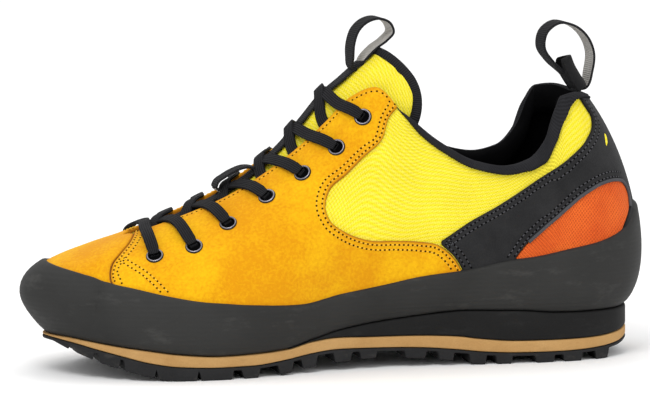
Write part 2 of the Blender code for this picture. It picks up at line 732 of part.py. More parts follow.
def make_collar_trim(look):
    # Padded binding that laps over the rim, thinner where it meets the tongue
    rings = []
    padding = through([0.0, 0.18, 0.30, 0.42, COLLAR_FRONT], [0.8, 0.4, 0.7, 0.25, 0.1])
    turns = [turn if turn < 0.5 else turn - 1.0 for turn in turns_around()]
    for turn in sorted(turn for turn in turns if abs(2 * turn) < COLLAR_FRONT + 0.001):
        inside = UPPER_WALL + 3 * GAP
        pad = TRIM_WALL + TRIM_PADDING * padding(abs(2 * turn))
        low, mid, half_deep, deep = (climb_below_rim(turn, depth) for depth in (
            TRIM_DROP, TRIM_DROP * 0.45, TRIM_LINING * 0.5, TRIM_LINING))
        top, normal = last_point(turn, 1.0), last_normal(turn, 1.0)
        upward = top - last_point(turn, 0.99)
        upward /= np.linalg.norm(upward)
        ring = [offset_point(turn, low, 2 * GAP), offset_point(turn, low, GAP + 0.8 * TRIM_WALL),
                offset_point(turn, mid, GAP + TRIM_WALL)]
        roll = ((GAP + 0.9 * TRIM_WALL, 0.2 * TRIM_WALL), (0.2 * TRIM_WALL, TRIM_WALL),
                (-inside - 0.3 * pad, 1.1 * TRIM_WALL), (-inside - pad, -0.2 * TRIM_WALL))
        ring += [top + out * normal + (up + 3 * GAP) * upward for out, up in roll]
        ring += [offset_point(turn, half_deep, -inside - pad),
                 offset_point(turn, deep, -inside - 0.4 * pad), offset_point(turn, deep, -inside)]
        ring += [top - inside * normal + 3 * GAP * upward, top + 2 * GAP * normal + 3 * GAP * upward]
        rings.append(ring)
    return loft("collar_trim", rings, look)


# The tongue

def tongue_half(side, base, offset):
    turn = base / 2 if side < 0 else 1 - base / 2
    return [offset_point(turn, climb_below_rim(turn, depth), offset) for depth in TONGUE_WINGS]


def tongue_section(base, offset):
    # Points from the inner wing over the crown to the outer wing
    inner, outer = tongue_half(-1, base, offset), tongue_half(1, base, offset)
    crown = through([row[0] for row in TONGUE_CROWN], [row[1] for row in TONGUE_CROWN])(base)
    ahead = (inner[-1] + outer[-1]) / 2
    lean = last_normal(base / 2, 1.0) + last_normal(1 - base / 2, 1.0)
    lean[1] = 0.0
    lean /= np.linalg.norm(lean)
    middle = ahead + crown * lean
    quarter_in = (inner[-1] + ahead) / 2 + 0.72 * crown * lean
    quarter_out = (outer[-1] + ahead) / 2 + 0.72 * crown * lean
    return inner + [quarter_in, middle, quarter_out] + outer[::-1]


def folded_section(folds, drop):
    # A section above the throat, from its row of folds, moved in by drop
    def spots(side):
        points = []
        for i, fold in enumerate(folds):
            point = np.array([lengthwise(fold.along), side * fold.half * BALL_WIDTH,
                              fold.rise * INSTEP_HEIGHT])
            inward = np.array([0.55 - 0.12 * i, -side * 0.22 * i, -0.70 + 0.10 * i])
            points.append(point + drop * inward / np.linalg.norm(inward))
        return points
    inner, outer = spots(-1), spots(1)
    return inner[:0:-1] + [inner[0]] + outer[1:]


def tongue_sections(drop):
    # From the toe end up, all with the same number of points
    offset = -(UPPER_WALL + TONGUE_SLIP) - drop
    bases = np.linspace(TONGUE_TOE, THROAT_TOP + 0.012, 11)
    sections = [tongue_section(base, offset) for base in bases]
    return sections + [folded_section(folds, drop) for folds in TONGUE_TOP]


def make_tongue(look):
    rings = []
    for outside, inside in zip(tongue_sections(0.0), tongue_sections(TONGUE)):
        edge_in = 0.45 * (inside[0] - outside[0])
        edge_out = 0.45 * (inside[-1] - outside[-1])
        lining = [outside[0] + edge_in] + inside[1:-1] + [outside[-1] + edge_out]
        rings.append(outside + lining[::-1])
    return loft("tongue", rings, look)


def ribbon(name, path, ups, width, thickness, look, closed=False):
    # A flat band along a path, its face towards the up directions
    rings = []
    count = len(path)
    for i in range(count):
        before = path[i - 1] if closed or i else path[i]
        after = path[(i + 1) % count] if closed or i < count - 1 else path[i]
        run = (after - before) / np.linalg.norm(after - before)
        side = np.cross(run, ups[i])
        side /= np.linalg.norm(side)
        up = np.cross(side, run)
        half, rise = side * width / 2, up * thickness / 2
        rings.append([path[i] - half - rise, path[i] + half - rise, path[i] + half + rise,
                      path[i] - half + rise])
    return loft(name, rings, look, closed)


def make_tongue_binding(look):
    # Follows the tongue's free edge: up one wing, over the top and down the other
    outside = [folded_section(folds, 0.0) for folds in TONGUE_TOP]
    inside = [folded_section(folds, TONGUE) for folds in TONGUE_TOP]
    top = [(a + b) / 2 for a, b in zip(outside[-1], inside[-1])]
    below = [(a + b) / 2 for a, b in zip(outside[-2], inside[-2])]
    path, ups = [], []
    for i, point in enumerate(top):
        away = point - below[i]
        away /= np.linalg.norm(away)
        path.append(point + away * (3 * GAP + BINDING_HEIGHT / 2))
        ups.append(away)
    return ribbon("tongue_binding", path[1:-1], ups[1:-1], BINDING_WIDTH, BINDING_HEIGHT, look)


def tongue_centre():
    # Crown line of the tongue and the direction away from it
    sections = tongue_sections(0.0)
    line = np.array([section[len(section) // 2] for section in sections])
    runs = np.gradient(line, axis=0)
    ups = np.cross(np.array([0.0, 1.0, 0.0]), runs)
    ups /= np.linalg.norm(ups, axis=1)[:, None]
    if ups[0][2] < 0:
        ups = -ups
    return line, ups


def make_tongue_strip(look):
    line, ups = tongue_centre()
    lift = STRIP_LIFT + WEBBING / 2
    path = [point + lift * up for point, up in zip(line, ups)][2:-1]
    return ribbon("tongue_strip", path, ups[2:-1], WEBBING_WIDTH, WEBBING, look)


def make_keeper(look):
    # A bridge of webbing over one crossing of the lace, its ends down on the tongue's strip
    low = STRIP_LIFT + WEBBING + GAP + WEBBING / 2
    spots = [crown_at(lengthwise(row.along), low + KEEPER_HEIGHT * row.lift) for row in KEEPER]
    return ribbon("keeper_loop", [spot[0] for spot in spots], [spot[1] for spot in spots],
                  KEEPER_WIDTH, WEBBING, look)


def webbing_loop(name, marks, twist, look):
    # A closed loop of webbing in the shoe's middle plane, its width turned a little
    centre = np.mean([placed(mark) for mark in marks], axis=0)
    points = smooth_path([placed(mark) for mark in marks], LOOP_STOPS, closed=True)
    path = np.array([(x, (x - centre[0]) * math.sin(twist), z) for x, z in points])
    ups = [np.array([x - centre[0], 0.0, z - centre[1]]) for x, z in points]
    return ribbon(name, path, ups, WEBBING_WIDTH, WEBBING, look, closed=True)


def make_heel_tab(look):
    path = [np.array([x, 0.0, z]) for x, z in smooth_path([placed(mark) for mark in HEEL_TAB], 6)]
    rings = []
    for i, point in enumerate(path):
        share = i / (len(path) - 1)
        half = 0.5 * HEEL_TAB_WIDTH * math.sqrt(1 - 0.75 * share**3)
        slope = path[min(i + 1, len(path) - 1)] - path[max(i - 1, 0)]
        out = np.array([slope[2], 0.0, -slope[0]]) / np.linalg.norm(slope) * TAB_THICKNESS / 2
        side = np.array([0.0, half, 0.0])
        rings.append([point - side - out, point + side - out, point + side + out, point - side + out])
    return loft("heel_tab", rings, look)


# Eyelets and lace

def eyelet_spot(side, mark):
    x, z = placed(mark)
    turn, climb = surface_spot(side, x, z)
    return turn, climb


def make_eyelet(side, number, mark, look):
    turn, climb = eyelet_spot(side, mark)
    seat = GAP + PANEL + EYELET_LIFT
    centre = last_point(turn, climb) + seat * last_normal(turn, climb)
    frame = Vector(last_normal(turn, climb)).to_track_quat("Z", "X")
    profile = [(EYELET_RADIUS, 0.0), (EYELET_RADIUS * 0.8, EYELET_HEIGHT),
               (EYELET_HOLE, 0.7 * EYELET_HEIGHT), (EYELET_HOLE, 0.0)]
    rings = []
    for i in range(8):
        angle = 2 * math.pi * i / 8
        rings.append([Vector(centre) + frame @ Vector((r * math.cos(angle), r * math.sin(angle), h))
                      for r, h in profile])
    name = "medial" if side < 0 else "lateral"
    return loft(f"eyelet_{name}_{number}", rings, look, closed=True)


def eyelet_top(side, mark):
    # Where the lace lies on an eyelet
    turn, climb = eyelet_spot(side, mark)
    normal = last_normal(turn, climb)
    lift = GAP + PANEL + EYELET_LIFT + EYELET_HEIGHT + LACE_CLEARANCE + LACE_THICKNESS / 2
    return last_point(turn, climb) + lift * normal, normal


def edge_top(side, mark, extra):
    # Where the lace crosses the edge of the eyestay at the height of an eyelet
    turn, climb = eyelet_spot(side, mark)
    lift = GAP + PANEL + LACE_THICKNESS / 2 + extra
    normal = last_normal(turn, 1.0)
    return last_point(turn, 1.0) + lift * normal, normal


def crown_at(x, lift):
    line, ups = tongue_centre()
    order = np.argsort(line[:, 0])
    point = np.array([x, np.interp(x, line[order, 0], line[order, 1]),
                      np.interp(x, line[order, 0], line[order, 2])])
    up = np.array([np.interp(x, line[order, 0], ups[order, k]) for k in range(3)])
    up /= np.linalg.norm(up)
    return point + lift * up, up


def strand(name, stops, look):
    points, ups = [stop[0] for stop in stops], [stop[1] for stop in stops]
    path = smooth_path(points, STRAND_STOPS)
    marks = np.linspace(0, 1, len(ups))
    spread = [np.array([np.interp(t, marks, [up[k] for up in ups]) for k in range(3)])
              for t in np.linspace(0, 1, STRAND_STOPS)]
    return ribbon(name, list(path), spread, LACE_WIDTH, LACE_THICKNESS, look)


def crossing_strand(name, side, lower, upper, look):
    # From the upper eyelet on one side, over the tongue, to the lower throat edge on the other
    start, start_up = eyelet_top(side, upper)
    edge, edge_up = edge_top(side, upper, LACE_CLEARANCE)
    start_mark = Mark(lower.along + LACE_LEAD * (upper.along - lower.along),
                      lower.rise + LACE_LEAD * (upper.rise - lower.rise))
    far, far_up = edge_top(-side, start_mark, LACE_CLEARANCE)
    x = (edge[0] + far[0]) / 2
    over, over_up = crown_at(x, WEBBING + 2 * LACE_CLEARANCE + LACE_THICKNESS)
    inward = (over - far) / np.linalg.norm(over - far)
    stops = [(start, start_up), (edge, edge_up), (over, over_up), (far + STRAND_END * inward, far_up)]
    return strand(name, stops, look)


def make_lace(look):
    first = EYELETS[0]
    stops = [eyelet_top(-1, first), edge_top(-1, first, LACE_CLEARANCE)]
    x = edge_top(-1, first, 0.0)[0][0]
    stops.append(crown_at(x, WEBBING + 2 * LACE_CLEARANCE + LACE_THICKNESS))
    stops += [edge_top(1, first, LACE_CLEARANCE), eyelet_top(1, first)]
    strand("lace_bar_1", stops, look)
    for number in range(1, len(EYELETS)):
        lower, upper = EYELETS[number - 1], EYELETS[number]
        made = crossing_strand(f"lace_cross_{number}", -1, lower, upper, look)
        other = crossing_strand(f"lace_cross_{number}_half", 1, lower, upper, None)
        boolean(made, helper(other), "UNION")


# Putting the shoe together

def centre_on_floor():
    # The origin is the middle of the shoe's footprint box, on the floor
    bpy.context.view_layer.update()
    corners = [made.matrix_world @ Vector(corner) for made in bpy.data.objects
               if not made.hide_render for corner in made.bound_box]
    middle_x = (min(c.x for c in corners) + max(c.x for c in corners)) / 2
    middle_y = (min(c.y for c in corners) + max(c.y for c in corners)) / 2
    floor = min(c.z for c in corners)
    for made in bpy.data.objects:
        for vertex in made.data.vertices:
            vertex.co -= Vector((middle_x, middle_y, floor))


def main():
    for old in list(bpy.data.objects):
        bpy.data.objects.remove(old, do_unlink=True)
    rubber = material("rubber_black", (0.040, 0.040, 0.042), 0.75)
    rand_rubber = material("rand_rubber", (0.045, 0.045, 0.047), 0.65)
    foam_black = material("foam_black", (0.018, 0.018, 0.018), 0.8)
    foam_tan = material("foam_tan", (0.56, 0.36, 0.14), 0.8)
    mesh_yellow = material("mesh_yellow", (0.80, 0.87, 0.02), 0.8)
    suede = material("suede", (0.86, 0.38, 0.01), 0.95)
    nubuck = material("nubuck_black", (0.022, 0.022, 0.024), 0.85)
    leaf = material("insert_red", (0.80, 0.12, 0.02), 0.8)
    padding = material("trim_black", (0.012, 0.012, 0.013), 0.9)
    webbing = material("webbing_black", (0.012, 0.012, 0.013), 0.8)
    lining = material("insole_grey", (0.05, 0.05, 0.055), 0.95)
    metal = material("eyelet_metal", (0.18, 0.18, 0.19), 0.35, 1.0)
    cord = material("lace_black", (0.015, 0.015, 0.016), 0.85)

    make_outsole(rubber)
    slab("midsole_tan", tan_bottom, tan_top, foam_tan)
    slab("midsole_wedge", lambda x: tan_top(x) + GAP,
         lambda x: max(wedge_top(x) + GAP / 2, tan_top(x) + 2 * GAP), foam_black,
         start=lengthwise(WEDGE_START))
    make_insole(lining)
    make_upper(mesh_yellow)
    make_rand(rand_rubber)
    make_vamp(-1, suede)
    make_vamp(1, suede)
    make_toe_panel(suede)
    make_heel_band(nubuck)
    make_insert(-1, leaf)
    make_insert(1, leaf)
    make_collar_trim(padding)
    make_tongue(mesh_yellow)
    make_tongue_binding(padding)
    make_tongue_strip(webbing)
    webbing_loop("tongue_loop", TONGUE_LOOP, 0.12, webbing)
    make_keeper(webbing)
    webbing_loop("heel_loop", HEEL_LOOP, 0.12, webbing)
    make_heel_tab(padding)
    for side in (-1, 1):
        for number, mark in enumerate(EYELETS, start=1):
            make_eyelet(side, number, mark, metal)
    make_lace(cord)
    centre_on_floor()


main()
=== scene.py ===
# The looks of a low approach shoe, right foot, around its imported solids.
# Metres, +Z up, toe towards -X, inner (medial) side towards -Y.

import math

import bpy
import numpy as np
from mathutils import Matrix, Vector, geometry, kdtree


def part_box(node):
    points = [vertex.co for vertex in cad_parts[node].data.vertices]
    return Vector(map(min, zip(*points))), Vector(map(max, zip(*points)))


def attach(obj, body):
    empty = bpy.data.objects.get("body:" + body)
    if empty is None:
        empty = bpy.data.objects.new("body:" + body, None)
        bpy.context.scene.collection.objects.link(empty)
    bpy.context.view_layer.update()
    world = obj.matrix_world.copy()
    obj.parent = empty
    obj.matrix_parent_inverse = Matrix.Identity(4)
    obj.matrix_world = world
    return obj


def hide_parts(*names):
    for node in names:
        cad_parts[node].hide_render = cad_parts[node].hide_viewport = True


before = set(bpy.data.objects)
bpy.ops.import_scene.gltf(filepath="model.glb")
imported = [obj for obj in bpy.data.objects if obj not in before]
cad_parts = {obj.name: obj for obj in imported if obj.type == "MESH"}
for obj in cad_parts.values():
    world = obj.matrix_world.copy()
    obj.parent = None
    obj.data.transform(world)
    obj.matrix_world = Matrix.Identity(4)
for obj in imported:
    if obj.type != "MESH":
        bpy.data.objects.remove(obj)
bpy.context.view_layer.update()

# The shoe's main sizes, the ones its solids are worked out from
shoe = {
    "length": 0.2645, "ball": 0.097, "instep": 0.120, "heel": 0.115, "sole": 0.022,
    "gap": 0.0003, "wall": 0.0018, "panel": 0.0013, "rand": 0.0028, "ledge": 0.0009,
}
sides = {-1: "Medial", 1: "Lateral"}

# Sole outline: share of the length from the toe, share of the ball width from the centre line
innerEdge = [
    (0.992, -0.124), (0.966, -0.237), (0.921, -0.309), (0.840, -0.340), (0.700, -0.327),
    (0.573, -0.314), (0.460, -0.350), (0.346, -0.438), (0.250, -0.471), (0.160, -0.440),
    (0.081, -0.335), (0.036, -0.235), (0.010, -0.150), (0.000, -0.062),
]
outerEdge = [
    (0.013, 0.052), (0.047, 0.196), (0.100, 0.340), (0.164, 0.443), (0.270, 0.525),
    (0.384, 0.521), (0.500, 0.462), (0.648, 0.392), (0.800, 0.363), (0.921, 0.325),
    (0.968, 0.247), (0.993, 0.134), (1.000, 0.005),
]

# Heights of the sole's layers in shares of its height: along, ground, tan bottom, tan top, wedge
soleLevels = [
    (0.000, 0.718, 0.773, 0.809, 0.000), (0.030, 0.568, 0.718, 0.791, 0.000),
    (0.070, 0.364, 0.600, 0.723, 0.000), (0.108, 0.218, 0.486, 0.655, 0.000),
    (0.150, 0.091, 0.364, 0.591, 0.000), (0.195, 0.000, 0.286, 0.518, 0.000),
    (0.270, 0.000, 0.250, 0.455, 0.000), (0.320, 0.000, 0.250, 0.464, 0.000),
    (0.380, 0.036, 0.314, 0.505, 0.005), (0.430, 0.118, 0.395, 0.618, 0.041),
    (0.475, 0.168, 0.436, 0.659, 0.136), (0.530, 0.209, 0.423, 0.636, 0.264),
    (0.620, 0.164, 0.386, 0.618, 0.400), (0.680, 0.091, 0.327, 0.582, 0.500),
    (0.725, 0.000, 0.264, 0.509, 0.568), (0.780, 0.000, 0.227, 0.455, 0.600),
    (0.850, 0.000, 0.218, 0.445, 0.545), (0.930, 0.000, 0.255, 0.464, 0.514),
    (0.970, 0.059, 0.309, 0.509, 0.468), (1.000, 0.227, 0.377, 0.559, 0.409),
]

# Ribs of the last: share of the way from heel to toe, then the rib's top (along, half, rise)
# and the pulls on its ends (lowOut, lowUp, highOut, highDown). Rows up to 0.47 use the heel height.
ribTable = [
    (0.000, 0.932, 0.000, 0.978, 0.152, 0.113, 0.232, 0.261),
    (0.070, 0.920, 0.103, 0.987, 0.145, 0.113, 0.216, 0.261),
    (0.130, 0.896, 0.186, 1.000, 0.124, 0.113, 0.175, 0.261),
    (0.180, 0.869, 0.230, 0.991, 0.108, 0.115, 0.124, 0.260),
    (0.205, 0.855, 0.249, 0.939, 0.100, 0.120, 0.093, 0.235),
    (0.235, 0.837, 0.265, 0.830, 0.093, 0.122, 0.072, 0.210),
    (0.270, 0.807, 0.278, 0.757, 0.093, 0.122, 0.052, 0.200),
    (0.310, 0.766, 0.286, 0.735, 0.093, 0.122, 0.041, 0.200),
    (0.360, 0.716, 0.288, 0.757, 0.093, 0.122, 0.041, 0.210),
    (0.420, 0.660, 0.278, 0.826, 0.098, 0.130, 0.052, 0.235),
    (0.470, 0.622, 0.265, 0.895, 0.103, 0.139, 0.072, 0.260),
    (0.505, 0.592, 0.245, 0.930, 0.113, 0.142, 0.103, 0.217),
    (0.540, 0.552, 0.195, 1.020, 0.124, 0.150, 0.155, 0.150),
    (0.570, 0.516, 0.160, 0.984, 0.124, 0.150, 0.206, 0.112),
    (0.610, 0.472, 0.142, 0.888, 0.124, 0.150, 0.237, 0.100),
    (0.660, 0.420, 0.127, 0.783, 0.124, 0.142, 0.268, 0.100),
    (0.720, 0.361, 0.111, 0.688, 0.124, 0.125, 0.289, 0.092),
    (0.780, 0.297, 0.093, 0.608, 0.124, 0.117, 0.289, 0.083),
    (0.840, 0.233, 0.072, 0.550, 0.129, 0.112, 0.289, 0.078),
    (0.900, 0.180, 0.049, 0.508, 0.144, 0.130, 0.330, 0.085),
    (0.950, 0.153, 0.027, 0.490, 0.168, 0.155, 0.440, 0.100),
    (1.000, 0.146, 0.000, 0.483, 0.188, 0.167, 0.515, 0.108),
]
heelRibs = 11

# Side outlines in shares of the length and the instep height
randTop = [
    (-0.020, 0.400), (0.030, 0.383), (0.060, 0.370), (0.100, 0.342), (0.130, 0.329),
    (0.180, 0.306), (0.225, 0.289), (0.315, 0.273), (0.403, 0.264), (0.475, 0.289),
    (0.553, 0.314), (0.618, 0.339), (0.694, 0.358), (0.772, 0.389), (0.810, 0.397),
    (0.870, 0.422), (0.928, 0.447), (0.970, 0.481), (1.000, 0.545), (1.030, 0.580),
]
vampRear = [
    (0.600, 1.080), (0.588, 0.956), (0.569, 0.914), (0.554, 0.839), (0.524, 0.781),
    (0.493, 0.722), (0.459, 0.656), (0.452, 0.597), (0.459, 0.556), (0.480, 0.519),
    (0.524, 0.480), (0.573, 0.472), (0.614, 0.464), (0.648, 0.447), (0.671, 0.406),
    (0.690, 0.340),
]
toeSeam = [
    (0.180, 0.600), (0.162, 0.506), (0.141, 0.468), (0.118, 0.432), (0.101, 0.400),
    (0.096, 0.372), (0.098, 0.340), (0.102, 0.240),
]
bandFront = [
    (0.652, 0.462), (0.701, 0.531), (0.752, 0.586), (0.814, 0.664), (0.871, 0.745),
    (0.907, 0.810), (0.922, 0.855), (0.924, 0.885), (0.917, 0.912), (0.909, 0.940),
    (0.901, 0.972), (0.893, 1.020),
]
leafEdge = [
    (0.775, 0.380), (0.800, 0.450), (0.849, 0.538), (0.898, 0.621), (0.928, 0.650),
    (0.951, 0.656), (0.972, 0.645), (0.987, 0.600), (0.988, 0.550), (0.975, 0.500),
    (0.945, 0.420), (0.900, 0.380),
]
eyeletRow = [
    (0.172, 0.431), (0.236, 0.464), (0.297, 0.539), (0.365, 0.631), (0.425, 0.714),
    (0.482, 0.806), (0.527, 0.914),
]


# Smooth functions through short tables

def through(knots, values, endSlopes=False):
    knots, values = np.array(knots, float), np.array(values, float)
    steps = np.diff(knots)
    rises = np.diff(values) / steps
    slopes = np.zeros(len(knots))
    for i in range(1, len(knots) - 1):
        before, after = rises[i - 1], rises[i]
        if before * after > 0:
            wide, narrow = 2 * steps[i] + steps[i - 1], steps[i] + 2 * steps[i - 1]
            slopes[i] = (wide + narrow) / (wide / before + narrow / after)
    if endSlopes:
        slopes[0], slopes[-1] = rises[0], rises[-1]

    def value(at):
        at = np.clip(at, knots[0], knots[-1])
        i = np.clip(np.searchsorted(knots, at) - 1, 0, len(knots) - 2)
        step = knots[i + 1] - knots[i]
        t = (at - knots[i]) / step
        a, b = 2 * t**3 - 3 * t**2 + 1, t**3 - 2 * t**2 + t
        return (a * values[i] + b * step * slopes[i] + (1 - a) * values[i + 1]
                + (t**3 - t**2) * step * slopes[i + 1])
    return value


def throughPairs(pairs):
    return through(*zip(*pairs))


def smoothPath(points, count, closed=False):
    # Evenly spaced points on a smooth curve through a few given points
    points = np.array(points, float)
    if closed:
        points = np.vstack([points[-2:], points, points[:3]])
    knots = runOf(points)
    slopes = np.gradient(points, knots, axis=0)
    first, last = (2, len(points) - 3) if closed else (0, len(points) - 1)
    t = np.linspace(0, 1, 24, endpoint=False)[:, None]
    a, b = 2 * t**3 - 3 * t**2 + 1, t**3 - 2 * t**2 + t
    fine = [a * points[i] + b * (knots[i + 1] - knots[i]) * slopes[i] + (1 - a) * points[i + 1]
            + (t**3 - t**2) * (knots[i + 1] - knots[i]) * slopes[i + 1] for i in range(first, last)]
    fine = np.vstack(fine + [points[last:last + 1]])
    return evenly(fine, count + 1)[:-1] if closed else evenly(fine, count)


def runOf(points):
    return np.concatenate([[0.0], np.cumsum(np.linalg.norm(np.diff(points, axis=0), axis=1))])


def runAcross(grid):
    # Distances along each row of a grid of points
    run = np.cumsum(np.linalg.norm(np.diff(grid, axis=1), axis=2), axis=1)
    return np.hstack([np.zeros((len(grid), 1)), run])


def evenly(points, count):
    run = runOf(points)
    stops = np.linspace(0, run[-1], count)
    return np.stack([np.interp(stops, run, points[:, k]) for k in range(points.shape[1])], axis=1)


def angles(count):
    return 2 * math.pi * np.arange(count) / count


def lengthwise(along):
    return (along - 0.5) * shoe["length"]


def sidePath(marks, count, closed=False):
    # A side outline in metres
    return smoothPath([(lengthwise(a), r * shoe["instep"]) for a, r in marks], count, closed)


# The sole's outline in plan and the heights of its layers

def planOutline():
    points = [(lengthwise(a), w * shoe["ball"]) for a, w in innerEdge + outerEdge]
    fine = smoothPath(points, 1200, closed=True)
    fine = np.roll(fine, -int(np.argmax(fine[:, 0])), axis=0)
    toe = int(np.argmin(fine[:, 0]))
    inner, outer = fine[:toe + 1], np.vstack([fine[toe:], fine[:1]])
    innerRun, outerRun = runOf(inner), runOf(outer)
    shares = np.concatenate([innerRun / innerRun[-1] / 2, 0.5 + outerRun[1:] / outerRun[-1] / 2])
    return shares, np.vstack([inner, outer[1:]])


planShares, planPoints = planOutline()


def outline(turn, inset=0.0, step=0.004):
    # Points and outward directions, heel 0, inner side, toe 0.5, outer side
    def at(share):
        return np.stack([np.interp(share % 1.0, planShares, planPoints[:, k]) for k in (0, 1)], axis=-1)

    run = at(turn + step) - at(turn - step)
    out = np.stack([-run[..., 1], run[..., 0]], axis=-1)
    out /= np.linalg.norm(out, axis=-1, keepdims=True)
    return at(turn) - inset * out, out


levelRules = [throughPairs([(row[0], row[k]) for row in soleLevels]) for k in range(1, 5)]


def level(kind, x):
    return shoe["sole"] * levelRules[kind](x / shoe["length"] + 0.5)


def ground(x):
    return level(0, x)


def tanBottom(x):
    return level(1, x)


def tanTop(x):
    return level(2, x)


def feather(x):
    return level(2, x) + level(3, x) + 2 * shoe["gap"]


# The last's surface on a fine grid: rows are turns, columns are climbs from sole to rim

def ribRules():
    bases = [row[0] for row in ribTable]
    tall = [shoe["heel"] if i < heelRibs else shoe["instep"] for i in range(len(ribTable))]
    return {
        "x": through(bases, [lengthwise(row[1]) for row in ribTable]),
        "half": through(bases, [row[2] * shoe["ball"] for row in ribTable], endSlopes=True),
        "z": through(bases, [row[3] * t for row, t in zip(ribTable, tall)]),
        "lowOut": through(bases, [row[4] * shoe["ball"] for row in ribTable]),
        "lowUp": through(bases, [row[5] * t for row, t in zip(ribTable, tall)]),
        "highOut": through(bases, [row[6] * shoe["ball"] for row in ribTable]),
        "highDown": through(bases, [row[7] * t for row, t in zip(ribTable, tall)]),
    }


rules = ribRules()
turnCount, climbCount, tiny = 960, 161, 1e-12
gridTurns = np.arange(turnCount) / turnCount
gridClimbs = np.linspace(0.0, 1.0, climbCount)


def lastGrid():
    base = np.where(gridTurns <= 0.5, 2 * gridTurns, 2 - 2 * gridTurns)
    side = np.where(gridTurns <= 0.5, -1.0, 1.0)
    foot, flatOut = outline(gridTurns, shoe["ledge"] + shoe["rand"])
    out = np.column_stack([flatOut, np.zeros(turnCount)])
    up = np.array([0.0, 0.0, 1.0])
    low = np.stack([foot[:, 0], foot[:, 1], feather(foot[:, 0])], axis=1)
    lean = through([0.0, 0.75, 1.0], [0.0, 0.0, -0.02 * shoe["ball"]])(base)
    high = np.stack([rules["x"](base), side * rules["half"](base) + lean, rules["z"](base)], axis=1)
    second = low + rules["lowOut"](base)[:, None] * out + rules["lowUp"](base)[:, None] * up
    third = high + rules["highOut"](base)[:, None] * out - rules["highDown"](base)[:, None] * up
    t = gridClimbs[None, :, None]
    s = 1 - t
    return (s**3 * low[:, None] + 3 * s * s * t * second[:, None] + 3 * s * t * t * third[:, None]
            + t**3 * high[:, None])


def gridNormals(points):
    across = np.roll(points, -1, axis=0) - np.roll(points, 1, axis=0)
    upward = np.gradient(points, axis=1)
    normals = np.cross(upward, across)
    normals /= np.linalg.norm(normals, axis=2, keepdims=True) + tiny
    normals[..., 2] = np.maximum(normals[..., 2], 0.0)
    return normals / (np.linalg.norm(normals, axis=2, keepdims=True) + tiny)


lastPoints = lastGrid()
lastNormals = gridNormals(lastPoints)


# Padding, troughs and creases, placed in the side view: x, z, reach along and across, turn, rise
swells = [
    ("pad", 0.010, 0.070, 0.020, 0.013, 25, 0.0016),
    ("pad", 0.060, 0.062, 0.016, 0.010, 10, 0.0008),
    ("trough", 0.020, 0.0845, 0.016, 0.0040, -28, -0.0013),
    ("trough", 0.036, 0.066, 0.0045, 0.013, 12, -0.0012),
    ("trough", -0.005, 0.058, 0.016, 0.0045, -35, -0.0007),
    ("crease", -0.058, 0.048, 0.0045, 0.016, -18, -0.0008),
    ("crease", -0.072, 0.046, 0.0040, 0.013, -24, -0.0006),
    ("ridge", -0.065, 0.047, 0.0035, 0.014, -21, 0.0005),
    ("crease", -0.040, 0.054, 0.0050, 0.014, -10, -0.0006),
    ("trough", -0.1085, 0.0415, 0.0016, 0.0075, -38, -0.0010),
    ("trough", -0.1135, 0.0330, 0.0015, 0.0060, -8, -0.0010),
]


def relief(points):
    total = np.zeros(points.shape[:-1])
    for kind, x, z, along, across, tilt, rise in swells:
        c, s = math.cos(math.radians(tilt)), math.sin(math.radians(tilt))
        dx, dz = points[..., 0] - x, points[..., 2] - z
        a, b = (dx * c + dz * s) / along, (-dx * s + dz * c) / across
        total += rise * np.exp(-0.5 * (a * a + b * b))
    return total


lastPoints = lastPoints + relief(lastPoints)[..., None] * lastNormals
lastNormals = gridNormals(lastPoints)


def sample(grid, turn, climb):
    # The grid's value between its rows and columns
    turn, climb = np.asarray(turn, float), np.asarray(climb, float)
    u = (turn % 1.0) * turnCount
    v = np.clip(climb, 0.0, 1.0) * (climbCount - 1)
    i, j = np.floor(u).astype(int) % turnCount, np.minimum(np.floor(v).astype(int), climbCount - 2)
    a, b = (u - np.floor(u))[..., None], (v - j)[..., None]
    k = (i + 1) % turnCount
    return ((1 - a) * (1 - b) * grid[i, j] + a * (1 - b) * grid[k, j]
            + (1 - a) * b * grid[i, j + 1] + a * b * grid[k, j + 1])


# From the functions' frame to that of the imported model
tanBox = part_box("midsole_tan")
shift = np.array([(tanBox[0][k] + tanBox[1][k]) / 2 - (planPoints[:, k].min() + planPoints[:, k].max()) / 2
                  for k in (0, 1)] + [0.0])


def skinNormal(turn, climb):
    normal = sample(lastNormals, turn, climb)
    return normal / np.linalg.norm(normal, axis=-1, keepdims=True)


def skin(turn, climb, offset=0.0):
    # A point of the upper's surface, moved out by the offset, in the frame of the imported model
    offset = np.asarray(offset, float)
    return sample(lastPoints, turn, climb) + offset[..., None] * skinNormal(turn, climb) + shift


def climbAtHeight(turn, height):
    # The climb at which each turn's rib reaches a height that depends on x
    ribs = sample(lastPoints, np.asarray(turn)[:, None], gridClimbs[None, :] * 0.999)
    above = ribs[..., 2] >= height(ribs[..., 0])
    first = np.maximum(np.argmax(above, axis=1), 1)
    rows = np.arange(len(turn))
    lowGap = height(ribs[rows, first - 1, 0]) - ribs[rows, first - 1, 2]
    highGap = ribs[rows, first, 2] - height(ribs[rows, first, 0])
    return gridClimbs[first - 1] + gridClimbs[1] * lowGap / (lowGap + highGap + tiny)


def climbBelowRim(turn, depth):
    # The climb at a depth below the rim, one depth for all turns or one for each
    run = runAcross(sample(lastPoints, np.asarray(turn)[:, None], gridClimbs[None, ::-1]))
    depths = np.broadcast_to(depth, len(turn))
    return np.array([np.interp(own, row, gridClimbs[::-1]) for own, row in zip(depths, run)])


randHeight = throughPairs([(lengthwise(a), r * shoe["instep"]) for a, r in randTop])
everyTurn = np.linspace(0.0, 1.0, 481)
lowAll = climbAtHeight(everyTurn, randHeight)
baseAll = np.minimum(2 * everyTurn, 2 - 2 * everyTurn)

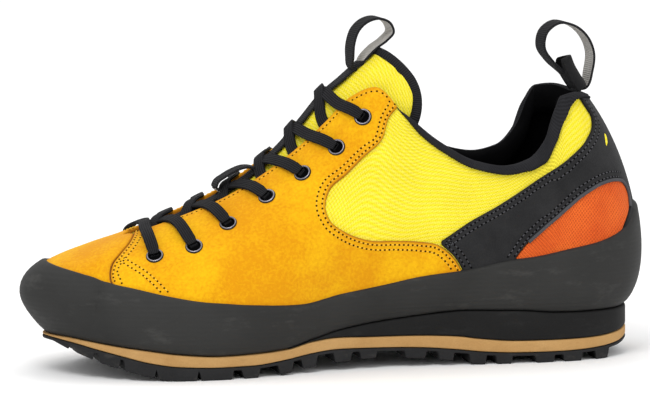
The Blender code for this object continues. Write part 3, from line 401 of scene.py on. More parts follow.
# How far the collar's trim comes down from the rim, by the share of the way from heel to toe
trimDepth = throughPairs([
    (0.00, 0.0012), (0.05, 0.0006), (0.09, 0.0003), (0.125, 0.0006), (0.157, 0.0034), (0.18, 0.0084),
    (0.205, 0.0116), (0.23, 0.0088), (0.25, 0.0050), (0.28, 0.0021), (0.34, 0.0010), (0.42, 0.0011),
    (0.47, 0.0012), (0.512, 0.0003),
])

# Where the heel band ends: hidden just above the trim's lower edge, and at the rim in front of the collar
underTrim, leastDepth, collarEnd = 0.0006, 0.0001, 0.505
rimAll = climbBelowRim(everyTurn, np.maximum(trimDepth(baseAll) - underTrim, leastDepth))
rimAll = np.where(baseAll > collarEnd, 1.0, rimAll)


def lowAt(turn):
    return np.interp(np.asarray(turn) % 1.0, everyTurn, lowAll)


def rimAt(turn):
    return np.interp(np.asarray(turn) % 1.0, everyTurn, rimAll)


def sideLookup(side):
    rows = np.where((gridTurns <= 0.5) if side < 0 else (gridTurns >= 0.5))[0]
    tree = kdtree.KDTree(len(rows) * climbCount)
    for i in rows:
        for j in range(climbCount):
            tree.insert((lastPoints[i, j, 0], 0.0, lastPoints[i, j, 2]), int(i) * climbCount + j)
    tree.balance()
    return tree


lookups = {side: sideLookup(side) for side in sides}


def spotsOf(side, path, turnStep=0.001, climbStep=0.003, mostTurn=0.004, mostClimb=0.01):
    # Turns and climbs of a side view path on one side of the shoe, and how far each point is off it
    found = []
    for x, z in path:
        near, key, off = lookups[side].find((x, 0.0, z))
        i, j = divmod(key, climbCount)
        turn, climb = i / turnCount, gridClimbs[j]
        for step in range(3):
            here = sample(lastPoints, turn, climb)
            above, below = min(climb + climbStep, 1.0), climb - climbStep
            du = (sample(lastPoints, turn + turnStep, climb) - here) / turnStep
            dv = (sample(lastPoints, turn, above) - sample(lastPoints, turn, below)) / (above - below)
            grid = np.array([[du[0], dv[0]], [du[2], dv[2]]])
            if abs(np.linalg.det(grid)) < 1e-7:
                break
            move = np.linalg.solve(grid, np.array([x - here[0], z - here[2]]))
            turn += float(np.clip(move[0], -mostTurn, mostTurn))
            climb = float(np.clip(climb + np.clip(move[1], -mostClimb, mostClimb), 0.0, 1.0))
        found.append((turn, climb, off))
    return np.array(found)


print("surfaces ready")


# Meshes

def gridFaces(rows, cols, closedRows=False, closedCols=False):
    i, j = np.meshgrid(np.arange(rows if closedRows else rows - 1),
                       np.arange(cols if closedCols else cols - 1), indexing="ij")
    k, m = (i + 1) % rows, (j + 1) % cols
    return np.stack([i * cols + j, k * cols + j, k * cols + m, i * cols + m], axis=-1).reshape(-1, 4)


def piece(name, points, faces, looks, stands=(), uv=None, period=None, marks=None, parts=None,
          sharp=60):
    # One visual object that rides on the shoe; a closed UV map jumps by its period where it starts again
    mesh = bpy.data.meshes.new(name)
    mesh.from_pydata(np.asarray(points, float).reshape(-1, 3).tolist(), [],
                     [[int(corner) for corner in face] for face in faces])
    mesh.update()
    for look in looks if isinstance(looks, list) else [looks]:
        mesh.materials.append(look)
    if parts is not None:
        mesh.polygons.foreach_set("material_index", np.asarray(parts, np.int32))
    if uv is not None:
        corners = np.empty(len(mesh.loops), np.int32)
        mesh.loops.foreach_get("vertex_index", corners)
        flat = np.asarray(uv, float).reshape(-1, 2)[corners]
        if period:
            totals = np.empty(len(mesh.polygons), np.int32)
            mesh.polygons.foreach_get("loop_total", totals)
            owner = np.repeat(np.arange(len(totals)), totals)
            most = np.full(len(totals), -1e9)
            np.maximum.at(most, owner, flat[:, 0])
            flat[:, 0] += np.where(most[owner] - flat[:, 0] > period / 2, period, 0.0)
        mesh.uv_layers.new(name="UVMap").data.foreach_set("uv", flat.ravel())
    for key, values in (marks or {}).items():
        mesh.attributes.new(key, "FLOAT", "POINT").data.foreach_set("value", np.asarray(values, float).ravel())
    mesh.shade_smooth()
    mesh.set_sharp_from_angle(angle=math.radians(sharp))
    made = bpy.data.objects.new(name, mesh)
    bpy.context.scene.collection.objects.link(made)
    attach(made, "root")
    if stands:
        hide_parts(*stands)
    return made


def joined(batches):
    # Several lists of points and faces as one
    points, faces, start = [], [], 0
    for some, around in batches:
        some = np.asarray(some, float).reshape(-1, 3)
        points.append(some)
        faces.append(np.asarray(around) + start)
        start += len(some)
    return np.vstack(points), np.vstack(faces)


def unit(vectors):
    return vectors / (np.linalg.norm(vectors, axis=-1, keepdims=True) + tiny)


def endCaps(rows, count):
    # Faces that close the first and the last ring of a tube
    last = (rows - 1) * count
    return [list(range(count)), list(range(last, last + count))[::-1]]


def sweep(path, ups, section, closed=False, sizes=None):
    # Section points (across, up) carried along a path; gives points, faces and (run, around) places
    path, ups = np.asarray(path, float), np.asarray(ups, float)
    runs = np.roll(path, -1, axis=0) - np.roll(path, 1, axis=0) if closed else np.gradient(path, axis=0)
    runs = unit(runs)
    sides = unit(np.cross(runs, ups))
    ups = np.cross(sides, runs)
    section = np.asarray(section, float)
    grow = np.ones((len(path), 2)) if sizes is None else np.asarray(sizes, float)
    points = (path[:, None] + sides[:, None] * (section[None, :, 0] * grow[:, 0:1])[..., None]
              + ups[:, None] * (section[None, :, 1] * grow[:, 1:2])[..., None])
    count = len(section)
    faces = gridFaces(len(path), count, closed, True).tolist()
    if not closed:
        faces += endCaps(len(path), count)
    places = np.stack(np.meshgrid(runOf(path), runOf(section), indexing="ij"), axis=-1)
    return points, faces, places


def flatSection(width, thickness, swell=0.0):
    # A flat band with rounded edges, from the left edge over the top to the right and back
    half, rise = width / 2, thickness / 2
    top = [(half * s, rise + swell * (1 - s * s)) for s in np.linspace(-0.94, 0.94, 9)]
    turn = [(half - rise + rise * math.cos(a), rise * math.sin(a))
            for a in np.linspace(0.35 * math.pi, -0.35 * math.pi, 3)]
    under = [(half * s, -rise) for s in np.linspace(0.94, -0.94, 5)]
    back = [(-x, z) for x, z in turn[::-1]]
    return top + turn + under + back


# The faces of that section that make its back
sectionBack = range(12, 17)


def oval(wide, high, count=20):
    return [(wide * math.copysign(abs(math.cos(a)) ** 0.8, math.cos(a)),
             high * math.copysign(abs(math.sin(a)) ** 0.8, math.sin(a))) for a in angles(count)]


# Materials

class Nodes:
    # Adds nodes to a tree and links what is given to them
    def __init__(self, tree):
        self.tree = tree

    def add(self, kind, ins=None, **settings):
        node = self.tree.nodes.new("ShaderNode" + kind)
        for key, value in settings.items():
            setattr(node, key, value)
        for key, value in (ins or {}).items():
            if isinstance(value, bpy.types.NodeSocket):
                self.tree.links.new(value, node.inputs[key])
            else:
                node.inputs[key].default_value = value
        return node

    def math(self, operation, a, b=0.0, clamp=False):
        return self.add("Math", {0: a, 1: b}, operation=operation, use_clamp=clamp).outputs[0]

    def mix(self, factor, a, b):
        return self.add("Mix", {0: factor, 6: a, 7: b}, data_type="RGBA").outputs[2]

    def range(self, value, low, high, to=(0.0, 1.0)):
        return self.add("MapRange", {0: value, 1: low, 2: high, 3: to[0], 4: to[1]}).outputs[0]


def group(name, ins, outs):
    tree = bpy.data.node_groups.new(name, "ShaderNodeTree")
    for label, value in ins.items():
        kind = "NodeSocketColor" if isinstance(value, tuple) and len(value) == 4 else (
            "NodeSocketVector" if isinstance(value, tuple) else "NodeSocketFloat")
        tree.interface.new_socket(label, in_out="INPUT", socket_type=kind).default_value = value
    for label, kind in outs.items():
        tree.interface.new_socket(label, in_out="OUTPUT", socket_type="NodeSocket" + kind)
    return tree, Nodes(tree), tree.nodes.new("NodeGroupInput"), tree.nodes.new("NodeGroupOutput")


def napGroup():
    # Mottling in two sizes with a fine nap, on Object coordinates
    tree, nodes, into, out = group("nap", {
        "Light": (1.0, 1.0, 1.0, 1.0), "Dark": (0.5, 0.5, 0.5, 1.0), "Patches": 60.0, "Nap": 1400.0,
        "Speckle": 0.3}, {"Colour": "Color", "Height": "Float"})
    place = nodes.add("TexCoord").outputs["Object"]
    broad, fine = [nodes.add("TexNoise", {"Vector": place, "Scale": into.outputs[scale], "Detail": detail}
                             ).outputs["Fac"] for scale, detail in (("Patches", 4.0), ("Nap", 3.0))]
    patch = nodes.range(broad, 0.36, 0.66)
    speck = nodes.math("MULTIPLY", nodes.range(fine, 0.35, 0.7), into.outputs["Speckle"])
    total = nodes.math("ADD", nodes.math("MULTIPLY", patch, 0.75), speck, clamp=True)
    colour = nodes.mix(total, into.outputs["Light"], into.outputs["Dark"])
    tree.links.new(colour, out.inputs["Colour"])
    tree.links.new(fine, out.inputs["Height"])
    return tree


def rowsGroup():
    # Ridges across one direction of the UV map, spacing in metres, angle in radians
    tree, nodes, into, out = group("rows", {"Spacing": 0.001, "Angle": 0.0}, {"Height": "Float"})
    place = nodes.add("UVMap", uv_map="UVMap").outputs["UV"]
    turned = nodes.add("VectorRotate", {"Vector": place, "Angle": into.outputs["Angle"]},
                       rotation_type="Z_AXIS").outputs[0]
    across = nodes.add("SeparateXYZ", {0: turned}).outputs[0]
    wave = nodes.math("SINE", nodes.math("MULTIPLY", nodes.math("DIVIDE", across, into.outputs["Spacing"]),
                                         2 * math.pi))
    tree.links.new(nodes.range(wave, -1.0, 1.0), out.inputs["Height"])
    return tree


def dotsGroup():
    # Open mesh: a diagonal grid of small holes on the UV map
    tree, nodes, into, out = group("dots", {"Spacing": 0.0013, "Size": 0.32}, {"Hole": "Float"})
    place = nodes.add("UVMap", uv_map="UVMap").outputs["UV"]
    turned = nodes.add("VectorRotate", {"Vector": place, "Angle": math.radians(38)},
                       rotation_type="Z_AXIS").outputs[0]
    even = nodes.add("VectorMath", {0: turned, 3: nodes.math("DIVIDE", 1.0, into.outputs["Spacing"])},
                     operation="SCALE").outputs[0]
    dots = nodes.add("TexVoronoi", {"Vector": even, "Scale": 1.0, "Randomness": 0.12},
                     voronoi_dimensions="2D").outputs["Distance"]
    edge = nodes.math("ADD", into.outputs["Size"], 0.14)
    hole = nodes.math("SUBTRACT", 1.0, nodes.range(dots, into.outputs["Size"], edge))
    tree.links.new(hole, out.inputs["Hole"])
    return tree


groups = {"nap": napGroup(), "rows": rowsGroup(), "dots": dotsGroup()}


def colour(red, green, blue):
    # From the eight-bit values that a picture shows
    def linear(value):
        value /= 255.0
        return value / 12.92 if value <= 0.04045 else ((value + 0.055) / 1.055) ** 2.4

    return (linear(red), linear(green), linear(blue), 1.0)


# Rows: spacing, angle, height, then tint and its strength or None. Dots: spacing, size, tint, strength.
# Edge: distances in millimetres, tint, strength; painted shade along a piece's cut edge. Smudge: tint, scale,
# strength.

def makeLook(name, light, dark, roughness=0.8, patches=60.0, nap=1400.0, speckle=0.3, bump=0.2, depth=0.0002,
             rows=None, dots=None, edge=None, sheen=0.0, metallic=0.0, coat=0.0, smudge=None, specular=0.5):
    made = bpy.data.materials.new(name)
    made.use_nodes = True
    nodes = Nodes(made.node_tree)
    shader = made.node_tree.nodes["Principled BSDF"]
    base = nodes.add("Group", node_tree=groups["nap"])
    for socket, value in (("Light", light), ("Dark", dark), ("Patches", patches), ("Nap", nap),
                          ("Speckle", speckle)):
        base.inputs[socket].default_value = value
    paint, height = base.outputs["Colour"], nodes.math("MULTIPLY", base.outputs["Height"], bump)
    for spacing, angle, weight, tint in rows or []:
        rib = nodes.add("Group", {"Spacing": spacing, "Angle": angle}, node_tree=groups["rows"]).outputs[0]
        height = nodes.math("ADD", height, nodes.math("MULTIPLY", rib, weight))
        if tint:
            paint = nodes.mix(nodes.math("MULTIPLY", rib, tint[1]), paint, tint[0])
    if dots:
        hole = nodes.add("Group", {"Spacing": dots[0], "Size": dots[1]}, node_tree=groups["dots"]).outputs[0]
        paint = nodes.mix(nodes.math("MULTIPLY", hole, dots[3]), paint, dots[2])
        height = nodes.math("SUBTRACT", height, nodes.math("MULTIPLY", hole, 0.9))
    if smudge:
        place = nodes.add("TexCoord").outputs["Object"]
        stretched = nodes.add("VectorMath", {0: place, 1: (1.0, 1.0, 2.6)}, operation="MULTIPLY").outputs[0]
        cloud = nodes.add("TexNoise", {"Vector": stretched, "Scale": smudge[1], "Detail": 6.0,
                                       "Roughness": 0.7}).outputs["Fac"]
        paint = nodes.mix(nodes.range(cloud, 0.56, 0.78, (0.0, smudge[2])), paint, smudge[0])
    if edge:
        # Darker or paler along the piece's own cut edge, by its stored distance; as used here it is painted
        # shade and a painted shadow line along the edge
        near = nodes.add("Attribute", attribute_name="edge").outputs["Fac"]
        for low, high, tint, strength in edge:
            paint = nodes.mix(nodes.range(near, low, high, (strength, 0.0)), paint, tint)
    lift = nodes.add("Bump", {"Strength": 1.0, "Distance": depth, "Height": height})
    made.node_tree.links.new(paint, shader.inputs["Base Color"])
    made.node_tree.links.new(lift.outputs[0], shader.inputs["Normal"])
    for socket, value in (("Roughness", roughness), ("Metallic", metallic), ("Specular IOR Level", specular),
                          ("Sheen Weight", sheen), ("Sheen Roughness", 0.5), ("Coat Weight", coat)):
        shader.inputs[socket].default_value = value
    return made


looks = {
    # Suede edge tints: the wide band is painted shade along seams and cut edges, the thin brown line is the cut
    # edge's own colour with a painted shadow line
    "suede": makeLook("suedeYellow", colour(234, 180, 13), colour(214, 144, 7), 0.95, patches=38, nap=800,
                      speckle=0.55, bump=1.0, depth=0.00028, sheen=0.06, specular=0.12,
                      edge=[(0.4, 3.0, colour(198, 126, 8), 0.45), (0.05, 0.75, colour(140, 78, 12), 0.8)]),
    "mesh": makeLook("meshYellow", colour(248, 230, 34), colour(232, 212, 20), 0.85, patches=40, nap=900,
                     speckle=0.2, bump=0.3, depth=0.00016, specular=0.2,
                     dots=(0.00104, 0.22, colour(214, 200, 20), 0.38),
                     rows=[(0.0018, 1.85, 0.3, (colour(252, 244, 150), 0.26))]),
    "lining": makeLook("liningBlack", colour(13, 13, 14), colour(8, 8, 9), 0.95, nap=1100, bump=0.6,
                       specular=0.02),
    "rand": makeLook("randRubber", colour(46, 46, 45), colour(39, 39, 38), 0.68, patches=35, nap=2200,
                     speckle=0.25, bump=0.35, depth=0.00012, specular=0.22,
                     smudge=(colour(78, 77, 75), 48.0, 0.5), rows=[(0.0021, math.pi / 2, 0.5, None)]),
    "outsole": makeLook("outsoleRubber", colour(40, 40, 41), colour(30, 30, 31), 0.75, patches=45, nap=1400,
                        bump=0.5, smudge=(colour(92, 89, 84), 60.0, 0.5), specular=0.2),
    "wedge": makeLook("foamBlack", colour(30, 30, 30), colour(22, 22, 22), 0.7, patches=30, nap=1700,
                      bump=0.4, smudge=(colour(58, 58, 57), 70.0, 0.3), specular=0.15),
    "tan": makeLook("foamTan", colour(190, 150, 96), colour(174, 133, 80), 0.85, patches=50, nap=1600,
                    speckle=0.35, bump=0.5, smudge=(colour(148, 110, 64), 90.0, 0.4), specular=0.25),
    # The nubuck's edge tint is a painted shadow line along its cut edge
    "nubuck": makeLook("nubuckGrey", colour(45, 45, 46), colour(34, 34, 35), 0.92, patches=80, nap=1700,
                       speckle=0.5, bump=0.9, sheen=0.05, specular=0.1,
                       edge=[(0.05, 0.5, colour(18, 18, 19), 0.7)]),
    "insert": makeLook("insertOrange", colour(230, 106, 38), colour(208, 82, 26), 0.8, patches=60, nap=1300,
                       bump=0.6, dots=(0.0011, 0.24, colour(168, 56, 16), 0.5), specular=0.2),
    "trim": makeLook("trimCloth", colour(36, 36, 38), colour(25, 25, 27), 0.9, patches=90, nap=1600, bump=0.4,
                     rows=[(0.0010, 0.6, 0.3, (colour(56, 56, 60), 0.3)), (0.0013, -0.7, 0.3, None)],
                     specular=0.1),
    "webbing": makeLook("webbingBlack", colour(24, 24, 25), colour(15, 15, 16), 0.78, nap=1500, bump=0.25,
                        rows=[(0.0009, 0.0, 1.0, (colour(52, 52, 56), 0.45))], specular=0.14),
    "webbingBack": makeLook("webbingGrey", colour(196, 193, 188), colour(168, 165, 160), 0.85, nap=1500,
                            bump=0.25, rows=[(0.0009, 0.0, 1.0, (colour(132, 130, 124), 0.35))], specular=0.2),
    # The lace's paler tint on its rib crests is a painted highlight
    "lace": makeLook("laceBlack", colour(15, 15, 16), colour(9, 9, 10), 0.75, nap=1600, bump=0.2,
                     rows=[(0.00095, math.pi / 2, 1.0, (colour(58, 58, 63), 0.36)),
                           (0.0012, 0.0, 0.35, None)], specular=0.14),
    "metal": makeLook("eyeletMetal", colour(150, 147, 153), colour(112, 109, 116), 0.34, nap=2000, bump=0.05,
                      metallic=1.0),
    # Dark band round an eyelet's outer flank: painted shade
    "rimShade": makeLook("eyeletRimShade", colour(34, 34, 35), colour(24, 24, 25), 0.4, nap=2000, bump=0.05,
                        metallic=0.6),
    # Black for the eyelets' holes and barrels and for the holes of the black stitches: painted shade inside the
    # holes
    "hole": makeLook("holeShade", colour(8, 8, 9), colour(5, 5, 6), 0.95, specular=0.02),
    # Brown for the holes of the yellow stitches: painted shade inside the needle holes
    "pit": makeLook("pitShade", colour(74, 44, 12), colour(52, 30, 8), 0.95, specular=0.02),
    "threadYellow": makeLook("threadYellow", colour(246, 200, 56), colour(226, 172, 34), 0.8, nap=2500,
                             bump=0.3),
    "threadBlack": makeLook("threadGrey", colour(72, 72, 76), colour(54, 54, 58), 0.8, nap=2500, bump=0.3),
    "insole": makeLook("insoleGrey", colour(34, 34, 36), colour(24, 24, 26), 0.95, nap=1200, bump=0.6,
                       specular=0.1),
    "floor": makeLook("floorWhite", colour(254, 254, 254), colour(252, 252, 252), 0.9, patches=3, nap=200,
                      speckle=0.05, bump=0.02, specular=0.1),
}
print("materials ready")


# The sole

def soleLayer(name, low, high, look, stands, inset=0.0, start=None, stops=480, across=2, edge=0.0009):
    # A layer between two heights, one rounded section for each pair of turns
    turns = np.linspace(0.0, 0.5, stops)
    if start is not None:
        turns = turns[outline(turns)[0][:, 0] > start]
    (left, leftOut), (right, rightOut) = outline(turns, inset), outline(1.0 - turns, inset)
    bends = np.linspace(0.0, math.pi / 2, 5)

    def rim(side, bend, top):
        plan, out = (left, leftOut) if side < 0 else (right, rightOut)
        plan = plan - out * edge * (1 - math.sin(bend))
        above, below = high(plan[:, 0], side), low(plan[:, 0], side)
        drop = np.minimum(edge, (above - below) / 2) * (1 - math.cos(bend))
        return np.column_stack([plan, above - drop if top else below + drop])

    def flank(side, share):
        upper, lower = rim(side, math.pi / 2, True), rim(side, math.pi / 2, False)
        return upper * (1 - share) + lower * share

    def face(share, rule):
        plan = (left - leftOut * edge) * (0.5 - share / 2) + (right - rightOut * edge) * (0.5 + share / 2)
        return np.column_stack([plan, rule(plan[:, 0], share)])

    shares = np.linspace(-1, 1, across + 2)[1:-1]
    columns = [rim(-1, bend, True) for bend in bends] + [flank(-1, 0.33), flank(-1, 0.67)]
    columns += [rim(-1, bend, False) for bend in bends[::-1]] + [face(share, low) for share in shares]
    columns += [rim(1, bend, False) for bend in bends] + [flank(1, 0.67), flank(1, 0.33)]
    columns += [rim(1, bend, True) for bend in bends[::-1]] + [face(share, high) for share in shares[::-1]]
    points = np.stack(columns, axis=1) + shift
    rows, count = points.shape[:2]
    faces = gridFaces(rows, count, False, True).tolist() + endCaps(rows, count)
    return piece(name, points, faces, look, stands, uv=points[..., [0, 2]], sharp=50)


tanLayer = {"edge": 0.0007}
wedge = {"front": 0.385, "edge": 0.0009}
footbed = {"thickness": 0.0038, "lip": 0.0019, "lipFrom": 0.7, "clearance": 0.0024, "edge": 0.0008, "fill": 0.7}
tread = {"root": 0.0013, "slope": 0.0040, "groove": 0.44, "grooveHalf": 0.06, "stops": 1100, "across": 25,
         "edge": 0.0005, "least": 0.0002}

# Front and rear of each lug of the tread, shares of the length, and how far its front face leans
lugs = [
    (0.014, 0.030, 1), (0.042, 0.064, 1), (0.076, 0.102, 1), (0.114, 0.157, 1), (0.165, 0.225, 1.6),
    (0.236, 0.285, 1.8), (0.308, 0.331, 1.8), (0.372, 0.391, 1.8), (0.414, 0.435, 1.6), (0.472, 0.497, 1.4),
    (0.518, 0.541, 1.4), (0.595, 0.626, 1), (0.652, 0.673, 1), (0.705, 0.728, 1), (0.750, 0.772, 1),
    (0.817, 0.845, 1), (0.866, 0.894, 1), (0.924, 0.945, 1),
]


def treadLow(x, share):
    along = x / shoe["length"] + 0.5
    root = tanBottom(x) - shoe["gap"] - tread["root"]
    reach = np.zeros_like(x)
    for front, rear, lean in lugs:
        near = np.clip((along - front) / (tread["slope"] * lean) + 1, 0, 1)
        far = np.clip((rear - along) / tread["slope"] + 1, 0, 1)
        reach = np.maximum(reach, np.minimum(near, far))
    reach = reach * reach * (3 - 2 * reach)
    groove = min(1.0, abs(abs(share) - tread["groove"]) / tread["grooveHalf"])
    return root + (np.minimum(ground(x), root - tread["least"]) - root) * reach * groove


def insoleTop(x, share):
    lip = np.clip((abs(share) - footbed["lipFrom"]) / (1 - footbed["lipFrom"]), 0, 1)
    return feather(x) + shoe["gap"] + footbed["thickness"] + footbed["lip"] * lip


soleLayer("midsoleTan", lambda x, s: tanBottom(x), lambda x, s: tanTop(x), looks["tan"],
          ["midsole_tan"], edge=tanLayer["edge"])
soleLayer("midsoleWedge", lambda x, s: tanTop(x) + shoe["gap"],
          lambda x, s: np.maximum(feather(x) - 1.5 * shoe["gap"], tanTop(x) + 2 * shoe["gap"]), looks["wedge"],
          ["midsole_wedge"], start=lengthwise(wedge["front"]), edge=wedge["edge"])
soleLayer("outsoleTread", treadLow, lambda x, s: tanBottom(x) - shoe["gap"], looks["outsole"],
          ["outsole"], stops=tread["stops"], across=tread["across"], edge=tread["edge"])
insole = soleLayer("footbed", lambda x, s: feather(x) + shoe["gap"], insoleTop, looks["insole"],
                   ["insole"], inset=shoe["ledge"] + shoe["rand"] + footbed["clearance"], stops=240, across=21,
                   edge=footbed["edge"])
print("sole ready")


# The rand and the upper's wall

# Metres that a whole turn and a whole climb take in a UV map
planeTurn, planeClimb = 0.62, 0.09

rand = {"turns": 960, "rows": 15, "from": 0.93, "swell": 0.00016, "tuck": 0.0004, "edge": 0.0019,
        # Rounded top edge: way down from it, and share of the rand's thickness
        "crest": [(0.0, -0.10), (0.00010, 0.30), (0.00035, 0.58), (0.0007, 0.78), (0.0012, 0.92),
                  (0.0019, 1.0)]}
wall = {"turns": 640, "lowest": 0.05, "highest": 0.985, "outerRows": 74, "innerRows": 38,
        # Depths of the rim's own rows
        "rim": (-0.0001, -0.0009, -0.0017)}


def perClimb(turn, climb, step=0.02):
    # Metres for a whole climb, measured just below a place
    below = sample(lastPoints, turn, climb - step)
    return np.linalg.norm(sample(lastPoints, turn, climb) - below, axis=-1) / step


def makeRand():
    turns = np.arange(rand["turns"]) / rand["turns"]
    top = lowAt(turns)
    length = perClimb(turns, top)
    rows = [skin(turns, top - drop / length, shoe["gap"] + shoe["rand"] * share)
            for drop, share in rand["crest"]]
    start = top - rand["edge"] / length
    for share in np.linspace(rand["from"], 0.0, rand["rows"]):
        swell = rand["swell"] * math.sin(math.pi * share)
        tuck = rand["tuck"] if share == 0.0 else 0.0
        rows.append(skin(turns, start * share, shoe["gap"] + shoe["rand"] + swell - tuck))
    rows.append(skin(turns, turns * 0.0, 0.0))
    points = np.stack(rows, axis=1)
    run = np.broadcast_to((turns * planeTurn)[:, None], points.shape[:2])
    uv = np.stack([run, points[..., 2]], axis=-1)
    piece("toeRand", points, gridFaces(rand["turns"], points.shape[1], True), looks["rand"],
          ["rand"], uv=uv, period=planeTurn, sharp=70)


def makeWall():
    turns = np.arange(wall["turns"]) / wall["turns"]
    outer = np.linspace(wall["lowest"], wall["highest"], wall["outerRows"])
    inner = np.linspace(wall["highest"], 0.0, wall["innerRows"])
    rows = [skin(turns, turns * 0 + climb, 0.0) for climb in outer]
    rows += [skin(turns, turns * 0 + 1.0, depth) for depth in wall["rim"]]
    rows += [skin(turns, turns * 0 + climb, -shoe["wall"]) for climb in inner]
    points = np.stack(rows, axis=1)
    run = np.broadcast_to((turns * planeTurn)[:, None], points.shape[:2])
    climbs = np.concatenate([outer, [1.0] * len(wall["rim"]), inner])
    uv = np.stack([run, np.broadcast_to(climbs * planeClimb, points.shape[:2])], axis=-1)
    faces = gridFaces(wall["turns"], points.shape[1], True)
    lined = (np.arange(len(faces)) % (points.shape[1] - 1)) > wall["outerRows"]
    piece("upperWall", points, faces, [looks["mesh"], looks["lining"]], ["upper"], uv=uv,
          period=planeTurn, parts=lined.astype(int), sharp=70)


makeRand()
makeWall()
print("rand and wall ready")


# Panels: outlines are drawn in turns (lateral side negative) and climbs

cut = {
    "ringGap": 0.0006, "denseGap": 0.00012, "gap": 0.0009, "clear": 0.0013, "sunk": 0.0003, "highest": 0.9995,
    # How far a panel runs down behind the rand, and how far its drawn outline is kept
    "behindRand": 0.0016, "keptBehind": 0.0014,
    # Rows of points along the cut edge, distances from it
    "rows": (0.00013, 0.00035, 0.0007, 0.0012),
}


def slopesAt(spots, turnStep=0.0005, climbStep=0.002):
    here = skin(spots[:, 0], spots[:, 1])
    du = (skin(spots[:, 0] + turnStep, spots[:, 1]) - here) / turnStep
    step = np.where(spots[:, 1] > 0.99, -climbStep, climbStep)
    dv = (skin(spots[:, 0], spots[:, 1] + step) - here) / step[:, None]
    return here, du, dv


def moved(spots, amount):
    # A path on the skin moved to its left by an amount in metres
    here, du, dv = slopesAt(spots)
    along = unit(np.gradient(here, axis=0))
    aside = np.cross(skinNormal(spots[:, 0], spots[:, 1]), along) * amount
    a, b, c = (du * du).sum(1), (du * dv).sum(1), (dv * dv).sum(1)
    p, q = (du * aside).sum(1), (dv * aside).sum(1)
    det = a * c - b * b
    return spots + np.stack([(c * p - b * q) / det, (a * q - b * p) / det], axis=1)


def spaced(spots, gap):
    # The same path with evenly spaced points on the surface
    run = runOf(skin(spots[:, 0], spots[:, 1]))
    stops = np.linspace(0, run[-1], max(3, int(run[-1] / gap) + 1))
    return np.stack([np.interp(stops, run, spots[:, k]) for k in (0, 1)], axis=1)


def inside(loop, spots):
    found = np.zeros(len(spots), bool)
    ends = np.roll(loop, -1, axis=0)
    for (x0, y0), (x1, y1) in zip(loop, ends):
        if y0 == y1:
            continue
        crossing = (y0 > spots[:, 1]) != (y1 > spots[:, 1])
        found ^= crossing & (spots[:, 0] < (x1 - x0) * (spots[:, 1] - y0) / (y1 - y0) + x0)
    return found


def within(loops, spots):
    # Inside the first loop and outside the others
    found = inside(loops[0], spots)
    for hole in loops[1:]:
        found &= ~inside(hole, spots)
    return found


def treeOf(points):
    tree = kdtree.KDTree(len(points))
    for number, point in enumerate(points):
        tree.insert(point, number)
    tree.balance()
    return tree


def panel(name, loop, look, slot, stands, holes=(), thickness=shoe["panel"] + shoe["gap"], soft=0.0008):
    # A sheet on the skin inside a loop, with its edge rounded over a soft width
    loops = [spaced(np.vstack([ring, ring[:1]]), cut["ringGap"])[:-1] for ring in [loop, *holes]]
    dense = [spaced(np.vstack([ring, ring[:1]]), cut["denseGap"])[:-1] for ring in loops]
    tree = treeOf(np.vstack([skin(ring[:, 0], ring[:, 1]) for ring in dense]))

    def fromEdge(spots):
        return np.array([tree.find(place)[2] for place in skin(spots[:, 0], spots[:, 1])])

    free = []
    for ring in loops:
        closed = np.vstack([ring[-3:], ring, ring[:3]])
        for depth in cut["rows"]:
            for way in (-1, 1):
                free.append((moved(closed, way * depth)[3:-3], depth * 0.8))
    low, high = loops[0].min(axis=0), loops[0].max(axis=0)
    us = np.arange(low[0], high[0], cut["gap"] / planeTurn)
    vs = np.arange(low[1], high[1], cut["gap"] / planeClimb)
    free.append((np.stack(np.meshgrid(us, vs), axis=-1).reshape(-1, 2), cut["clear"]))
    kept = []
    for spots, least in free:
        spots = spots[(spots[:, 1] < cut["highest"]) & within(loops, spots)]
        kept.append(spots[fromEdge(spots) > least])
    every = np.vstack(loops + kept)
    edges, start = [], 0
    for ring in loops:
        edges += [(start + i, start + (i + 1) % len(ring)) for i in range(len(ring))]
        start += len(ring)
    flat = [Vector((u * planeTurn, v * planeClimb)) for u, v in every]
    flat, _, faces = geometry.delaunay_2d_cdt(flat, edges, [], 1, 1e-8)[:3]
    spots = np.array([(p[0] / planeTurn, p[1] / planeClimb) for p in flat])
    faces = np.array([face for face in faces if len(face) == 3])
    faces = faces[within(loops, spots[faces].mean(axis=1))]
    apart = fromEdge(spots)
    share = np.clip(apart / soft, 0, 1)
    rise = -cut["sunk"] + (thickness + cut["sunk"]) * np.sqrt(1 - (1 - share) ** 2)
    points = skin(spots[:, 0], spots[:, 1], rise)
    piece(name, points, faces, look, stands, uv=spots * [planeTurn, planeClimb],
          marks={"edge": np.clip(apart * 1000, 0, 5)}, sharp=80)


def drawn(side, marks, count, most=0.0009):
    # A side outline laid on one side of the skin where it is near enough, lateral turns negative
    spots = spotsOf(side, sidePath(marks, count))
    spots = spots[spots[:, 2] < most][:, :2]
    spots[:, 0] = np.where(spots[:, 0] > 0.5, spots[:, 0] - 1, spots[:, 0]) if side > 0 else spots[:, 0]
    return spots


def underRand(turnA, turnB):
    turns = np.linspace(turnA, turnB, 300)
    low = lowAt(turns)
    return np.stack([turns, low - cut["behindRand"] / perClimb(turns, low)], axis=1)


def aboveRand(spots):
    low = lowAt(spots[:, 0])
    return spots[spots[:, 1] > low - cut["keptBehind"] / perClimb(spots[:, 0], low)]


def rimLine(turnA, turnB, count=400):
    return np.stack([np.linspace(turnA, turnB, count), np.ones(count)], axis=1)


def fromRim(spots):
    # A path with its start run straight up to the rim
    return np.vstack([[spots[0, 0], 1.0], spots])


